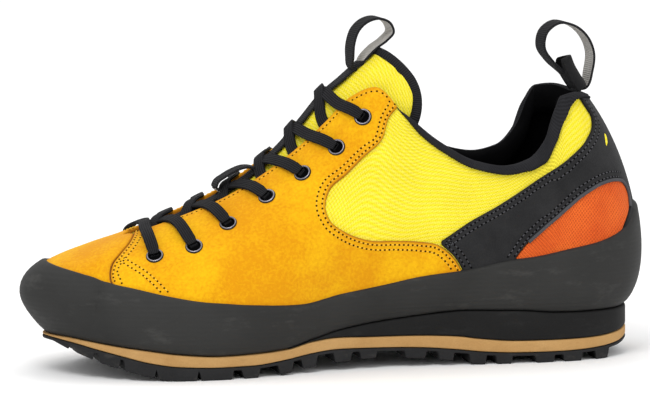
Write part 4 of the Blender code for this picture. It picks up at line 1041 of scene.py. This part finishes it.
seams, rears = {}, {}
for side, label in sides.items():
    rear = drawn(side, vampRear, 400)
    rear = rear[rear[:, 1] < 0.998]
    rears[side] = fromRim(aboveRand(rear))
    seam = drawn(side, toeSeam, 160)
    seams[side] = fromRim(aboveRand(seam[seam[:, 1] < 0.995]))
    near, ahead = rears[side], seams[side]
    loop = np.vstack([near, underRand(near[-1, 0], ahead[-1, 0])[1:-1], ahead[::-1],
                      rimLine(ahead[0, 0], near[0, 0])[1:-1]])
    panel("vamp" + label, loop, looks["suede"], "suede", ["vamp_" + label.lower()])

# The toe panel runs over the toe, so its lateral half is carried past half a turn
other = seams[1] + [1.0, 0.0]
toeLoop = np.vstack([seams[-1], underRand(seams[-1][-1, 0], other[-1, 0])[1:-1], other[::-1],
                     rimLine(other[0, 0], seams[-1][0, 0], 60)[1:-1]])
panel("toePanel", toeLoop, looks["suede"], "suede", ["toe_panel"])

# The band's front edge goes on down under the rand
bandTail = [(0.652, 0.450), (0.673, 0.406), (0.692, 0.340)]
leafInsert = {"thickness": 0.0010, "soft": 0.0006}
bandEdges, leaves = {}, {}
for side in sides:
    tail = aboveRand(drawn(side, bandTail, 40))
    front = drawn(side, bandFront, 240, most=0.002)
    front = front[front[:, 1] < rimAt(front[:, 0])]
    bandEdges[side] = np.vstack([tail[::-1], front])
    leaf = spotsOf(side, sidePath(leafEdge, 220, closed=True))[:, :2]
    leaf[:, 0] = np.where(leaf[:, 0] > 0.5, leaf[:, 0] - 1, leaf[:, 0])
    leaves[side] = leaf
near, far = bandEdges[-1], bandEdges[1]
topTurns = np.linspace(near[-1, 0], far[-1, 0], 300)[1:-1]
bandLoop = np.vstack([near, np.stack([topTurns, rimAt(topTurns)], axis=1), far[::-1],
                      underRand(far[0, 0], near[0, 0])[1:-1]])
panel("heelBand", bandLoop, looks["nubuck"], "nubuck_black", ["heel_band"], holes=[leaves[-1], leaves[1]])
for side, label in sides.items():
    panel("leafInsert" + label, leaves[side], looks["insert"], "insert_red", ["insert_" + label.lower()],
          **leafInsert)
print("panels ready")


# The collar's padded trim

trim = {
    "front": 0.512, "thinning": 0.030, "thinnest": 0.15, "stops": 900,
    "padding": [(0.0, 0.0052), (0.12, 0.0046), (0.20, 0.0034), (0.30, 0.0030), (0.42, 0.0020), (0.512, 0.0004)],
    "toothPitch": 0.0013, "toothHeight": 0.00032,
    # Lower edge: further down than the trim's depth, and lift off the skin
    "hem": [(0.0001, 0.0), (0.0, 0.0013)],
    # Outer face: share of the trim's depth, and lift
    "outer": [(0.94, 0.0019), (0.78, 0.0022), (0.55, 0.0024), (0.3, 0.0024), (0.1, 0.0022)],
    # Roll over the rim: out and up from it
    "roll": [(0.0022, 0.0010), (0.0015, 0.0022), (0.0004, 0.0028), (-0.0009, 0.0029)],
    # Top of the padding: share of its thickness, and up from the rim
    "crest": [(0.45, 0.0024), (0.85, 0.0010)],
    # Inner face: depth below the rim, and share of the padding
    "inner": [(0.0016, 1.0), (0.0040, 1.08), (0.0065, 1.0), (0.0090, 0.72), (0.0112, 0.35), (0.0122, 0.0)],
    "cloth": 0.0022, "fill": 0.6,
}


def makeTrim():
    reach = trim["front"] / 2
    turns = np.linspace(-reach, reach, trim["stops"])
    rim = np.ones(len(turns))
    base = np.abs(turns) * 2
    drop, pad = trimDepth(base), throughPairs(trim["padding"])(base)
    slim = np.clip((trim["front"] - base) / trim["thinning"], trim["thinnest"], 1.0)
    run = runOf(sample(lastPoints, turns, rim))
    teeth = trim["toothHeight"] * (2 * np.abs((run / trim["toothPitch"]) % 1.0 - 0.5) - 0.5)
    top, normal = skin(turns, rim), skinNormal(turns, rim)
    upward = unit(top - skin(turns, rim * 0.985))
    rows = [skin(turns, climbBelowRim(turns, drop + teeth + further), lift * slim)
            for further, lift in trim["hem"]]
    rows += [skin(turns, climbBelowRim(turns, drop * share + teeth * share), lift * slim)
             for share, lift in trim["outer"]]
    rows += [top + normal * (out * slim)[:, None] + upward * (up * slim)[:, None] for out, up in trim["roll"]]
    lined = len(rows) - 1
    rows += [top - normal * (trim["cloth"] + share * pad)[:, None] + upward * (up * slim)[:, None]
             for share, up in trim["crest"]]
    rows += [skin(turns, climbBelowRim(turns, depth), -trim["cloth"] - share * pad)
             for depth, share in trim["inner"]]
    points = np.stack(rows, axis=1)
    uv = np.stack([np.broadcast_to(run[:, None], points.shape[:2]), runAcross(points)], axis=-1)
    count = points.shape[1]
    faces = gridFaces(len(turns), count).tolist()
    parts = [int(number % (count - 1) >= lined) for number in range(len(faces))]
    made = piece("collarTrim", points, faces + endCaps(len(turns), count), [looks["trim"], looks["lining"]],
                 ["collar_trim"], uv=uv, parts=parts + [0, 0], sharp=75)


makeTrim()


# The tongue

tongue = {
    # The part above the throat, from the middle to the edge: along, half width, height
    "folds": [
        [(0.518, 0.000, 1.030), (0.524, 0.072, 1.012), (0.540, 0.144, 0.962), (0.565, 0.183, 0.885),
         (0.590, 0.188, 0.815)],
        [(0.545, 0.000, 1.082), (0.552, 0.082, 1.070), (0.572, 0.150, 1.020), (0.596, 0.184, 0.955),
         (0.616, 0.192, 0.885)],
        [(0.571, 0.000, 1.138), (0.577, 0.076, 1.130), (0.597, 0.137, 1.092), (0.617, 0.170, 1.034),
         (0.628, 0.182, 0.965)],
    ],
    # The part in the throat: how far its middle stands over the edges, by the share from heel to toe
    "crown": [(0.575, 0.0070), (0.610, 0.0066), (0.660, 0.0046), (0.720, 0.0028), (0.800, 0.0018),
              (0.900, 0.0012), (0.940, 0.0008)],
    "toe": 0.925, "ankle": 0.587, "tucks": (0.013, 0.0065, 0.0), "under": 0.0013, "shoulder": 0.72,
    "rows": 150, "across": 49, "thickness": 0.0045, "edgeShare": 0.45, "edgeWidth": 0.10,
    "puff": 0.0011, "quilt": 0.0007, "quiltAt": 0.52, "quiltWidth": 0.035,
    "wrinkle": 0.0003, "wrinkles": 34, "wrinkleAt": 0.55, "wrinkleWidth": 0.16, "fill": 0.5,
}
tongueMiddle = tongue["across"] // 2


def tongueControls():
    crown = throughPairs(tongue["crown"])
    sections = []
    for base in np.linspace(tongue["toe"], tongue["ankle"], 11):
        halves = []
        for turn in (base / 2, 1 - base / 2):
            spread = np.array([turn] * len(tongue["tucks"]))
            tucked = climbBelowRim(spread, tongue["tucks"])
            halves.append(skin(spread, tucked, -(shoe["wall"] + tongue["under"])))
        inner, outer = halves
        ahead = (inner[-1] + outer[-1]) / 2
        lean = skinNormal(base / 2, 1.0) + skinNormal(1 - base / 2, 1.0)
        lean[1] = 0.0
        lean = unit(lean) * crown(base)
        sections.append(np.vstack([inner, (inner[-1] + ahead) / 2 + tongue["shoulder"] * lean, ahead + lean,
                                   (outer[-1] + ahead) / 2 + tongue["shoulder"] * lean, outer[::-1]]))
    for folds in tongue["folds"]:
        spots = {side: [np.array([lengthwise(a), side * h * shoe["ball"], r * shoe["instep"]]) + shift
                        for a, h, r in folds] for side in (-1, 1)}
        sections.append(np.array(spots[-1][:0:-1] + [spots[-1][0]] + spots[1][1:]))
    return np.array(sections)


def tongueGrid():
    across = np.array([smoothPath(section, tongue["across"]) for section in tongueControls()])
    return np.stack([smoothPath(across[:, k], tongue["rows"]) for k in range(across.shape[1])], axis=1)


tongueFace = tongueGrid()
tongueOut = unit(np.cross(np.gradient(tongueFace, axis=1), np.gradient(tongueFace, axis=0)))
if tongueOut[100, tongueMiddle, 2] < 0:
    tongueOut = -tongueOut


def bump(values, centre, width):
    return np.exp(-((values - centre) / width) ** 2)


def makeTongue():
    rows, count = tongueFace.shape[:2]
    w = np.linspace(-1, 1, count)[None, :]
    t = np.linspace(0, 1, rows)[:, None]
    puff = tongue["puff"] * np.clip(1 - w**2, 0, 1) * np.clip(t * 6, 0, 1) * np.clip((1 - t) * 14, 0, 1)
    puff = puff - (tongue["quilt"] * bump(np.abs(w), tongue["quiltAt"], tongue["quiltWidth"])
                   * np.clip((t - 0.5) * 8, 0, 1))
    wrinkle = (tongue["wrinkle"] * np.sin(t * tongue["wrinkles"] + w * 2.2)
               * bump(np.abs(w), tongue["wrinkleAt"], tongue["wrinkleWidth"]) * (t > 0.45))
    face = tongueFace + tongueOut * (puff + wrinkle)[..., None]
    edge = np.clip((1 - np.abs(w)) / tongue["edgeWidth"], 0, 1) ** 0.5
    depth = tongue["thickness"] * (tongue["edgeShare"] + (1 - tongue["edgeShare"]) * edge)
    back = tongueFace - tongueOut * depth[..., None]
    ring = np.concatenate([face, back[:, ::-1]], axis=1)
    run = runAcross(face.swapaxes(0, 1)).T
    side = np.broadcast_to(np.linspace(-0.03, 0.03, count)[None], (rows, count))
    uv = np.stack([np.concatenate([side, side[:, ::-1]], axis=1),
                   np.concatenate([run, run[:, ::-1]], axis=1)], axis=-1)
    faces = gridFaces(rows, 2 * count, False, True).tolist()
    parts = [int(count <= number % (2 * count) < 2 * count - 1) for number in range(len(faces))]
    made = piece("tonguePad", ring, faces + endCaps(rows, 2 * count), [looks["mesh"], looks["lining"]],
                 ["tongue"], uv=uv, parts=parts + [0, 0], sharp=70)
    return face


tonguePadFace = makeTongue()

# Binding round the tongue's top: first row of the tongue, how deep its centre lies in the thickness
binding = {"start": 92, "sideDepth": 0.28, "topDepth": 0.5, "across": 0.0025, "high": 0.0030, "lift": 0.0002,
           "stops": 260}


def makeBinding():
    start = binding["start"]
    inset = tongueOut * tongue["thickness"]
    middle, thin = tongueFace - inset * binding["topDepth"], tongueFace - inset * binding["sideDepth"]
    path = smoothPath(np.vstack([thin[start:, 0][:-3:7], middle[-1, 2:-2][::4], thin[start:, -1][::-1][3::7]]),
                      binding["stops"])
    out = np.vstack([tongueOut[start:, 0][:-3:7], tongueOut[-1, 2:-2][::4], tongueOut[start:, -1][::-1][3::7]])
    run, stops = np.linspace(0, 1, len(out)), np.linspace(0, 1, binding["stops"])
    ups = unit(np.stack([np.interp(stops, run, out[:, k]) for k in range(3)], axis=1))
    points, faces, places = sweep(path + binding["lift"] * ups, ups, oval(binding["across"], binding["high"]))
    piece("tongueBinding", points, faces, looks["webbing"], ["tongue_binding"], uv=places,
          sharp=75)


makeBinding()


# Webbing

def webbing(name, path, ups, sizes, slotNode, closed=False, taper=None, backed=True):
    section = flatSection(sizes["width"], sizes["thickness"])
    points, faces, places = sweep(path, ups, section, closed, taper)
    parts = [int(backed and number % len(section) in sectionBack) for number in range(len(faces))]
    piece(name, points, faces, [looks["webbing"], looks["webbingBack"]] if backed else looks["webbing"],
          [slotNode], uv=places, parts=parts if backed else None)


crownLine, crownUps = tonguePadFace[:, tongueMiddle], tongueOut[:, tongueMiddle]


def crownAt(x, lift):
    # On the tongue's crown line at a place along the shoe
    order = np.argsort(crownLine[:, 0])
    point = np.array([np.interp(x, crownLine[order, 0], crownLine[order, k]) for k in range(3)])
    up = np.array([np.interp(x, crownLine[order, 0], crownUps[order, k]) for k in range(3)])
    up /= np.linalg.norm(up)
    return point + lift * up, up


strip = {"width": 0.0092, "thickness": 0.0009, "first": 12, "last": 142, "lift": 0.0007}
stripUps = crownUps[strip["first"]:strip["last"]]
webbing("tongueStrip", crownLine[strip["first"]:strip["last"]] + stripUps * strip["lift"], stripUps, strip,
        "tongue_strip", backed=False)

# The bridge over one crossing of the lace: along, and share of its rise over the tongue
keeper = {"width": 0.0088, "thickness": 0.0010, "foot": 0.0019, "rise": 0.0036, "stops": 60,
          "marks": [(0.3110, 0.00), (0.3065, 0.30), (0.3045, 0.85), (0.3100, 1.28), (0.3250, 1.42),
                    (0.3420, 1.30), (0.3560, 0.92), (0.3635, 0.40), (0.3670, 0.00)]}
keeperSpots = [crownAt(lengthwise(along) + shift[0], keeper["foot"] + keeper["rise"] * share)
               for along, share in keeper["marks"]]
webbing("keeperBridge", smoothPath([spot[0] for spot in keeperSpots], keeper["stops"]),
        smoothPath([spot[1] for spot in keeperSpots], keeper["stops"]), keeper, "keeper_loop")

# Pull loops: outlines in the side view, how far each leans and turns, and how it narrows at its foot
tonguePull = {"width": 0.0100, "thickness": 0.0011, "lean": 0.20, "facing": 0.12, "footNarrowing": 0.5,
              "footReach": 0.0045, "stops": 110,
              "marks": [(0.5270, 1.078), (0.5250, 1.120), (0.5265, 1.170), (0.5345, 1.217), (0.5510, 1.248),
                        (0.5730, 1.257), (0.5925, 1.236), (0.5975, 1.205), (0.5860, 1.177), (0.5660, 1.148),
                        (0.5470, 1.108), (0.5350, 1.068)]}
heelPull = dict(tonguePull, marks=[(0.9180, 0.975), (0.8960, 1.030), (0.8680, 1.085), (0.8530, 1.135),
                                   (0.8570, 1.190), (0.8790, 1.224), (0.9080, 1.212), (0.9330, 1.165),
                                   (0.9440, 1.105), (0.9410, 1.040), (0.9300, 0.975)])


def makePull(name, pull, node):
    flat = sidePath(pull["marks"], pull["stops"], closed=True)
    middle = flat.mean(axis=0)
    runs = unit(np.roll(flat, -1, axis=0) - np.roll(flat, 1, axis=0))
    outs = np.stack([runs[:, 1], -runs[:, 0]], axis=1)
    if (outs * (flat - middle)).sum() < 0:
        outs = -outs
    path = np.stack([flat[:, 0], (flat[:, 0] - middle[0]) * math.sin(pull["lean"]), flat[:, 1]], axis=1) + shift
    ups = np.stack([outs[:, 0] * math.cos(pull["facing"]), outs[:, 0] * math.sin(pull["facing"]), outs[:, 1]],
                   axis=1)
    foot = np.linalg.norm(flat - flat[np.argmin(flat[:, 1])], axis=1)
    narrow = 1 - pull["footNarrowing"] * bump(foot, 0.0, pull["footReach"])
    webbing(name, path, ups, pull, node, closed=True, taper=np.stack([narrow, np.ones(len(flat))], axis=1))


makePull("tonguePull", tonguePull, "tongue_loop")
makePull("heelPull", heelPull, "heel_loop")

# Heel tab: a curved plate that rises along a side outline and narrows towards its top
tab = {"marks": [(0.9285, 0.9900), (0.9170, 1.0275), (0.9070, 1.068), (0.9030, 1.098)], "stops": 40,
       "outerRadius": 0.0086, "outerShift": 0.0016, "innerRadius": 0.0066, "innerShift": -0.0006,
       "halfAngle": 72, "topNarrowing": 0.80, "topThinning": 0.30}


def makeTab():
    flat = sidePath(tab["marks"], tab["stops"])
    zero = flat[:, 0] * 0
    path = np.stack([flat[:, 0], zero, flat[:, 1]], axis=1) + shift
    ups = np.stack([np.gradient(flat[:, 1]), zero, -np.gradient(flat[:, 0])], axis=1)
    share = np.linspace(0, 1, tab["stops"])
    sizes = np.stack([np.sqrt(1 - tab["topNarrowing"] * share**6), np.sqrt(1 - tab["topThinning"] * share**8)],
                     axis=1)
    bends = np.radians(np.linspace(-tab["halfAngle"], tab["halfAngle"], 15))

    def arc(radius, move, angles):
        return [(radius * math.sin(a), radius * (math.cos(a) - 1) + move) for a in angles]

    curve = arc(tab["outerRadius"], tab["outerShift"], bends) + arc(tab["innerRadius"], tab["innerShift"],
                                                                    bends[::-1])
    points, faces, places = sweep(path, ups, curve, sizes=sizes)
    piece("heelTab", points, faces, looks["nubuck"], ["heel_tab"], uv=places)


makeTab()
print("trim, tongue and webbing ready")


# Eyelets and the lace

eyelet = {
    "stops": 40,
    # Ring and hole: radius, and height over the panel
    "ring": [(0.00392, -0.0004), (0.00392, 0.0001), (0.00380, 0.00038), (0.00356, 0.00060), (0.00326, 0.00072),
             (0.00298, 0.00062), (0.00278, 0.00036), (0.00272, 0.0001), (0.00272, -0.0012)],
    "hole": [(0.0028, 0.00012), (0.0014, 0.00010), (0.00001, 0.0001)],
    # Look of each of the ring's eight bands: 0 metal, 1 hole, painted black as the shade inside it, 2 dark rim,
    # painted shade on the ring's outer flank
    "bands": [2, 2, 2, 0, 0, 0, 0, 1],
}
panelTop = shoe["panel"] + shoe["gap"]
eyeletSpots = {side: spotsOf(side, [(lengthwise(a), r * shoe["instep"]) for a, r in eyeletRow])[:, :2]
               for side in sides}


def lathe(centre, normal, profile):
    basis = np.array(Vector(normal).to_track_quat("Z", "X").to_matrix())
    rings = np.array([[(r * math.cos(a), r * math.sin(a), h) for r, h in profile]
                      for a in angles(eyelet["stops"])])
    return rings @ basis.T + centre


for side in sides:
    for number, (turn, climb) in enumerate(eyeletSpots[side], start=1):
        centre, normal = skin(turn, climb, panelTop), skinNormal(turn, climb)
        points, faces = joined([(lathe(centre, normal, profile), gridFaces(eyelet["stops"], len(profile), True))
                                for profile in (eyelet["ring"], eyelet["hole"])])
        parts = eyelet["bands"] * eyelet["stops"]
        piece(f"eyelet{sides[side]}{number}", points, faces, [looks["metal"], looks["hole"], looks["rimShade"]],
              [f"eyelet_{sides[side].lower()}_{number}"],
              parts=parts + [1] * (len(faces) - len(parts)), sharp=80)


def footTurn(side, number):
    # Where the throat's edge comes nearest to an eyelet
    turn, climb = eyeletSpots[side][number]
    tries = turn + np.linspace(-0.06, 0.06, 241)
    near = np.linalg.norm(skin(tries, 1.0) - skin(turn, climb), axis=1)
    return tries[int(np.argmin(near))]


eyeletFeet = {side: [footTurn(side, number) for number in range(7)] for side in sides}


def edgeAt(turn, lift, aside=0.0):
    # By the throat's edge: lifted off it, and moved towards the middle of the throat
    point, normal = skin(turn, 1.0, lift), skinNormal(turn, 1.0)
    return point + aside * unit(skin(1 - turn, 1.0) - skin(turn, 1.0)), normal


lace = {
    "width": 0.0054, "thickness": 0.00125, "swell": 0.00012, "stops": 90,
    # At an eyelet the band draws in and thickens over a short way
    "drawnIn": 0.72, "thicker": 0.5, "end": 0.0018, "taper": 0.0030, "downTurn": 0.9,
    # Into an eyelet: height over the panel and way towards the throat
    "entry": [(-0.0014, 0.0002), (0.0006, 0.0011), (0.0014, 0.0034)],
    "barEdge": 0.0009, "barMiddle": 0.0011,
    # A crossing leaves one edge and meets the other at these shares of the way between two eyelets
    "leaves": 0.20, "meets": 0.74,
    # It starts and passes its lip at these lifts and ways towards the middle; one strand lies over the other
    "start": (-0.0022, -0.0024), "lip": (-0.0004, 0.0016), "farLift": 0.0008, "crownLift": 0.0021,
    "over": 0.0014, "slack": 0.0004,
}


def strand(stops, narrow):
    # Stops are points with their up directions; narrow says which ends go down into a hole
    points, ups = np.array([s[0] for s in stops]), np.array([s[1] for s in stops])
    path = smoothPath(points, lace["stops"])
    marks = runOf(points) / runOf(points)[-1]
    at = np.linspace(0, 1, lace["stops"])
    ups = unit(np.stack([np.interp(at, marks, ups[:, k]) for k in range(3)], axis=1))
    run = runOf(path)
    sizes = np.ones((lace["stops"], 2))
    for end in narrow:
        near = np.clip(((run if end == 0 else run[-1] - run) - lace["end"]) / lace["taper"], 0, 1)
        sizes[:, 0] *= lace["drawnIn"] + (1 - lace["drawnIn"]) * near
        sizes[:, 1] *= 1.0 + lace["thicker"] * (1 - near)
    return sweep(path, ups, flatSection(lace["width"], lace["thickness"], swell=lace["swell"]), sizes=sizes)


def intoEyelet(side, number, aim):
    # From the bottom of an eyelet's hole up and out of it, towards a place on the throat's edge
    turn, climb = eyeletSpots[side][number]
    centre, normal = skin(turn, climb, panelTop), skinNormal(turn, climb)
    inward = unit(skin(aim, 1.0) - centre)
    inward = unit(inward - (inward @ normal) * normal)
    down = unit(normal + lace["downTurn"] * inward)
    return [(centre + up * normal + way * inward, facing)
            for (up, way), facing in zip(lace["entry"], (down, down, normal))]


def lacePiece(name, built, stands):
    points, faces, uvs, start = [], [], [], 0
    for some, around, places in built:
        points.append(some.reshape(-1, 3))
        uvs.append(places.reshape(-1, 2))
        faces += [[corner + start for corner in face] for face in around]
        start += len(points[-1])
    piece(name, np.vstack(points), faces, looks["lace"], stands, uv=np.vstack(uvs))


def barStops():
    turns = [eyeletFeet[side][0] for side in sides]
    middle = (edgeAt(turns[0], 0.0)[0] + edgeAt(turns[1], 0.0)[0]) / 2
    up = crownAt(middle[0], 0.0)[1]
    return [*intoEyelet(-1, 0, turns[0]), edgeAt(turns[0], panelTop + lace["barEdge"]),
            (middle + (panelTop + lace["barMiddle"]) * up, up), edgeAt(turns[1], panelTop + lace["barEdge"]),
            *intoEyelet(1, 0, turns[1])[::-1]]


def crossingStops(side, number):
    # Out from under this side's edge, over the tongue, to the next eyelet on the other side
    here, there = eyeletFeet[side], eyeletFeet[-side]
    leaves = here[number] + lace["leaves"] * (here[number + 1] - here[number])
    meets = there[number] + lace["meets"] * (there[number + 1] - there[number])
    over = lace["over"] if side < 0 else 0.0
    start, lip = edgeAt(leaves, *lace["start"]), edgeAt(leaves, *lace["lip"])
    far = edgeAt(meets, panelTop + lace["farLift"])
    middle = (lip[0] + far[0]) / 2
    crown, up = crownAt(middle[0], lace["crownLift"] + over)
    crown = crown + max(0.0, float((middle - crown) @ up) + over + lace["slack"]) * up
    return [start, lip, (crown, up), far, *intoEyelet(-side, number + 1, meets)[::-1]]


lacePiece("laceBar", [strand(barStops(), (0, 1))], ["lace_bar_1"])
for number in range(6):
    lacePiece(f"laceCross{number + 1}", [strand(crossingStops(side, number), (1,)) for side in sides],
              [f"lace_cross_{number + 1}"])
print("eyelets and lace ready")


# Stitches

stitch = {
    # Colour, ways of the rows from their path, pitch, thread's share of it, thread's radius, hole's radius
    "rear": ("Yellow", (0.0016, 0.0039), 0.0021, 0.60, 0.00026, 0.00048),
    "seam": ("Yellow", (-0.0016, -0.0039), 0.0020, 0.60, 0.00026, 0.00046),
    "second": ("Yellow", (-0.0010, 0.0013), 0.0020, 0.62, 0.00028, 0.00046),
    "band": ("Black", (0.0014, 0.0037), 0.0021, 0.60, 0.00026, 0.00046),
    "leaf": ("Black", (-0.0015, -0.0038), 0.0021, 0.60, 0.00026, 0.00046),
    "throat": ("Yellow", (0.0,), 0.0022, 0.62, 0.00024, 0.00046),
}
# The toe seam's second pair of rows, and how far the throat's row lies below the rim
secondRow = [(0.1215, 0.417), (0.1352, 0.3985), (0.1491, 0.3796), (0.164, 0.3506), (0.1791, 0.314)]
throatDepth = 0.0026
# A thread's rings: share of its length, share of its radius, lift in radii
threadRings = [(-0.02, 0.35, -0.5), (0.12, 0.85, 0.1), (0.5, 1.0, 0.35), (0.88, 0.85, 0.1), (1.02, 0.35, -0.5)]
threadSquash = 0.8


def threads(start, stop, ups, radius):
    # Short threads, one for each pair of ends, with rounded tips sunk in the surface
    side = unit(np.cross(unit(stop - start), ups))
    rings = []
    for share, wide, lift in threadRings:
        centre, reach = start + (stop - start) * share + ups * (lift * radius), radius * wide
        rings.append(np.stack([centre + side * (reach * math.cos(a))
                               + ups * (reach * threadSquash * math.sin(a)) for a in angles(6)], axis=1))
    caps = np.array([[0, 1, 2, 3], [0, 3, 4, 5], [24, 25, 26, 27], [24, 27, 28, 29]])
    one = np.vstack([gridFaces(5, 6, False, True), caps])
    return np.stack(rings, axis=1).reshape(-1, 3), repeated(one, len(start), 30)


def pits(centres, ups, radius):
    # Small dark discs at each needle hole, painted shade
    side = unit(np.cross(ups, np.array([0.31, 0.2, 0.93])))
    other = np.cross(ups, side)
    rims = np.stack([centres + radius * (side * math.cos(a) + other * math.sin(a)) for a in angles(8)], axis=1)
    return rims.reshape(-1, 3), repeated(np.array([[0, 1, 2, 3], [0, 3, 4, 7], [4, 5, 6, 7]]), len(centres), 8)


def repeated(faces, times, step):
    return (faces[None] + step * np.arange(times)[:, None, None]).reshape(-1, 4)


sewn = {(kind, tint): [] for tint in ("Yellow", "Black") for kind in ("Thread", "Pit")}


def sew(name, spots, side, order=0):
    # Threads and pits along a path moved sideways
    tint, ways, pitch, share, radius, pitRadius = stitch[name]
    line = spaced(moved(spaced(spots, 0.0012), ways[order] * side), pitch)
    line = line[(line[:, 1] < 0.995) & (line[:, 1] > lowAt(line[:, 0]) + 0.003)]
    if len(line) < 3:
        return
    points, ups = skin(line[:, 0], line[:, 1], panelTop), skinNormal(line[:, 0], line[:, 1])
    good = np.linalg.norm(np.diff(points, axis=0), axis=1) < 2.2 * pitch
    start, stop = points[:-1][good], points[1:][good]
    middle, half = (start + stop) / 2, (stop - start) / 2 * share
    sewn["Thread", tint].append(threads(middle - half, middle + half, ups[:-1][good], radius))
    sewn["Pit", tint].append(pits(points + ups * 0.00004, ups, pitRadius))


for side in sides:
    paths = {"rear": rears[side], "seam": seams[side], "second": drawn(side, secondRow, 80),
             "band": bandEdges[side], "leaf": drawn(side, leafEdge[:7], 160)}
    for order in (0, 1):
        for name, path in paths.items():
            sew(name, path, side, order)
    throat = rimLine(eyeletSpots[side][0][0] - (1 if side > 0 else 0), rears[side][0, 0], 300)[:, 0]
    sew("throat", np.stack([throat, climbBelowRim(throat, throatDepth)], axis=1)[:-14], side)

for (kind, tint), built in sewn.items():
    # Pits take a painted shade look: brown on the suede, black on the nubuck
    pitLook, slot = {"Yellow": ("pit", "suede"), "Black": ("hole", "nubuck_black")}[tint]
    points, faces = joined(built)
    piece(f"stitch{kind}s{tint}", points, faces, looks["thread" + tint if kind == "Thread" else pitLook],
          sharp=80)

piping = {"across": 0.00075, "high": 0.0006, "sunk": 0.0001, "gap": 0.0006}
for side in sides:
    line = spaced(drawn(side, leafEdge[1:9], 200), piping["gap"])
    line = line[line[:, 1] > lowAt(line[:, 0])]
    cord, ups = skin(line[:, 0], line[:, 1], panelTop - piping["sunk"]), skinNormal(line[:, 0], line[:, 1])
    points, faces, places = sweep(cord, ups, oval(piping["across"], piping["high"], 10))
    piece("leafPiping" + sides[side], points, faces, looks["threadBlack"], uv=places)

# Slivers of bright mesh that show beside the back seam, in turns and climbs; rings: share, lift
sliver = {"turn": 0.0410, "slant": 0.0030, "climb": 0.816, "height": 0.030, "width": 0.0016, "stops": 24,
          "rings": [(1.0, -0.0003), (0.6, 0.0004), (0.02, 0.0005)]}
for side in sides:
    shares, lifts = np.array(sliver["rings"]).T
    around = angles(sliver["stops"])[:, None]
    rise = np.sin(around) * shares
    turns = sliver["turn"] - sliver["slant"] * rise + sliver["width"] * np.cos(around) * shares
    turns, climbs = -side * turns.ravel(), (sliver["climb"] + sliver["height"] * rise).ravel()
    points = skin(turns, climbs, panelTop + np.tile(lifts, sliver["stops"]))
    faces = gridFaces(sliver["stops"], len(shares), True)
    first = points[faces[0]]
    if np.cross(first[1] - first[0], first[3] - first[0]) @ skinNormal(turns[0], climbs[0]) < 0:
        faces = faces[:, ::-1]
    piece("heelSliver" + sides[side], points, faces, looks["mesh"],
          uv=np.stack([turns, climbs], axis=1) * 0.1)
print("stitches ready")


# Camera, floor and light

camera = bpy.data.objects.new("camera", bpy.data.cameras.new("camera"))
bpy.context.scene.collection.objects.link(camera)
bpy.context.scene.camera = camera
# Pixels to a metre, and the pixel in which the target lies
view = {"turn": -14.0, "rise": 8.0, "distance": 3.0, "target": Vector((0.0, -0.002, 0.062)), "perMetre": 2270.0,
        "centre": (332.0, 219.5), "picture": (650, 405), "sensor": 36.0}
wide, high = view["picture"]
turned, raised = math.radians(view["turn"]), math.radians(view["rise"])
away = Vector((math.sin(turned) * math.cos(raised), -math.cos(turned) * math.cos(raised), math.sin(raised)))
camera.location = view["target"] + view["distance"] * away
camera.rotation_euler = (-away).to_track_quat("-Z", "Y").to_euler()
camera.data.sensor_width = view["sensor"]
camera.data.lens = view["perMetre"] * view["distance"] / wide * view["sensor"]
camera.data.shift_x = -(view["centre"][0] - wide / 2) / wide
camera.data.shift_y = (view["centre"][1] - high / 2) / wide

floorMesh = bpy.data.meshes.new("floor")
corners = [(-9, -9, 0), (9, -9, 0), (9, 9, 0), (-9, 9, 0)]
floorMesh.from_pydata(corners, [], [(0, 1, 2, 3)])
floorMesh.materials.append(looks["floor"])
floor = bpy.data.objects.new("floor", floorMesh)
bpy.context.scene.collection.objects.link(floor)

bpy.context.scene.view_settings.view_transform = "Standard"
world = bpy.data.worlds.new("studio")
bpy.context.scene.world = world
world.use_nodes = True
background = world.node_tree.nodes["Background"].inputs
background["Color"].default_value, background["Strength"].default_value = (1.0, 1.0, 1.0, 1.0), 0.85


def softLight(name, place, size, power, aim=(0.0, 0.0, 0.05)):
    lamp = bpy.data.lights.new(name, "AREA")
    lamp.size, lamp.energy = size, power
    made = bpy.data.objects.new(name, lamp)
    made.location = place
    made.rotation_euler = (Vector(aim) - Vector(place)).to_track_quat("-Z", "Y").to_euler()
    bpy.context.scene.collection.objects.link(made)


softLight("key", (-0.8, -1.2, 1.9), 0.9, 20.0)
softLight("fill", (1.4, -1.5, 1.0), 1.3, 5.0)
softLight("top", (0.1, 0.7, 2.1), 1.4, 9.0)

print("camera, floor and light ready")
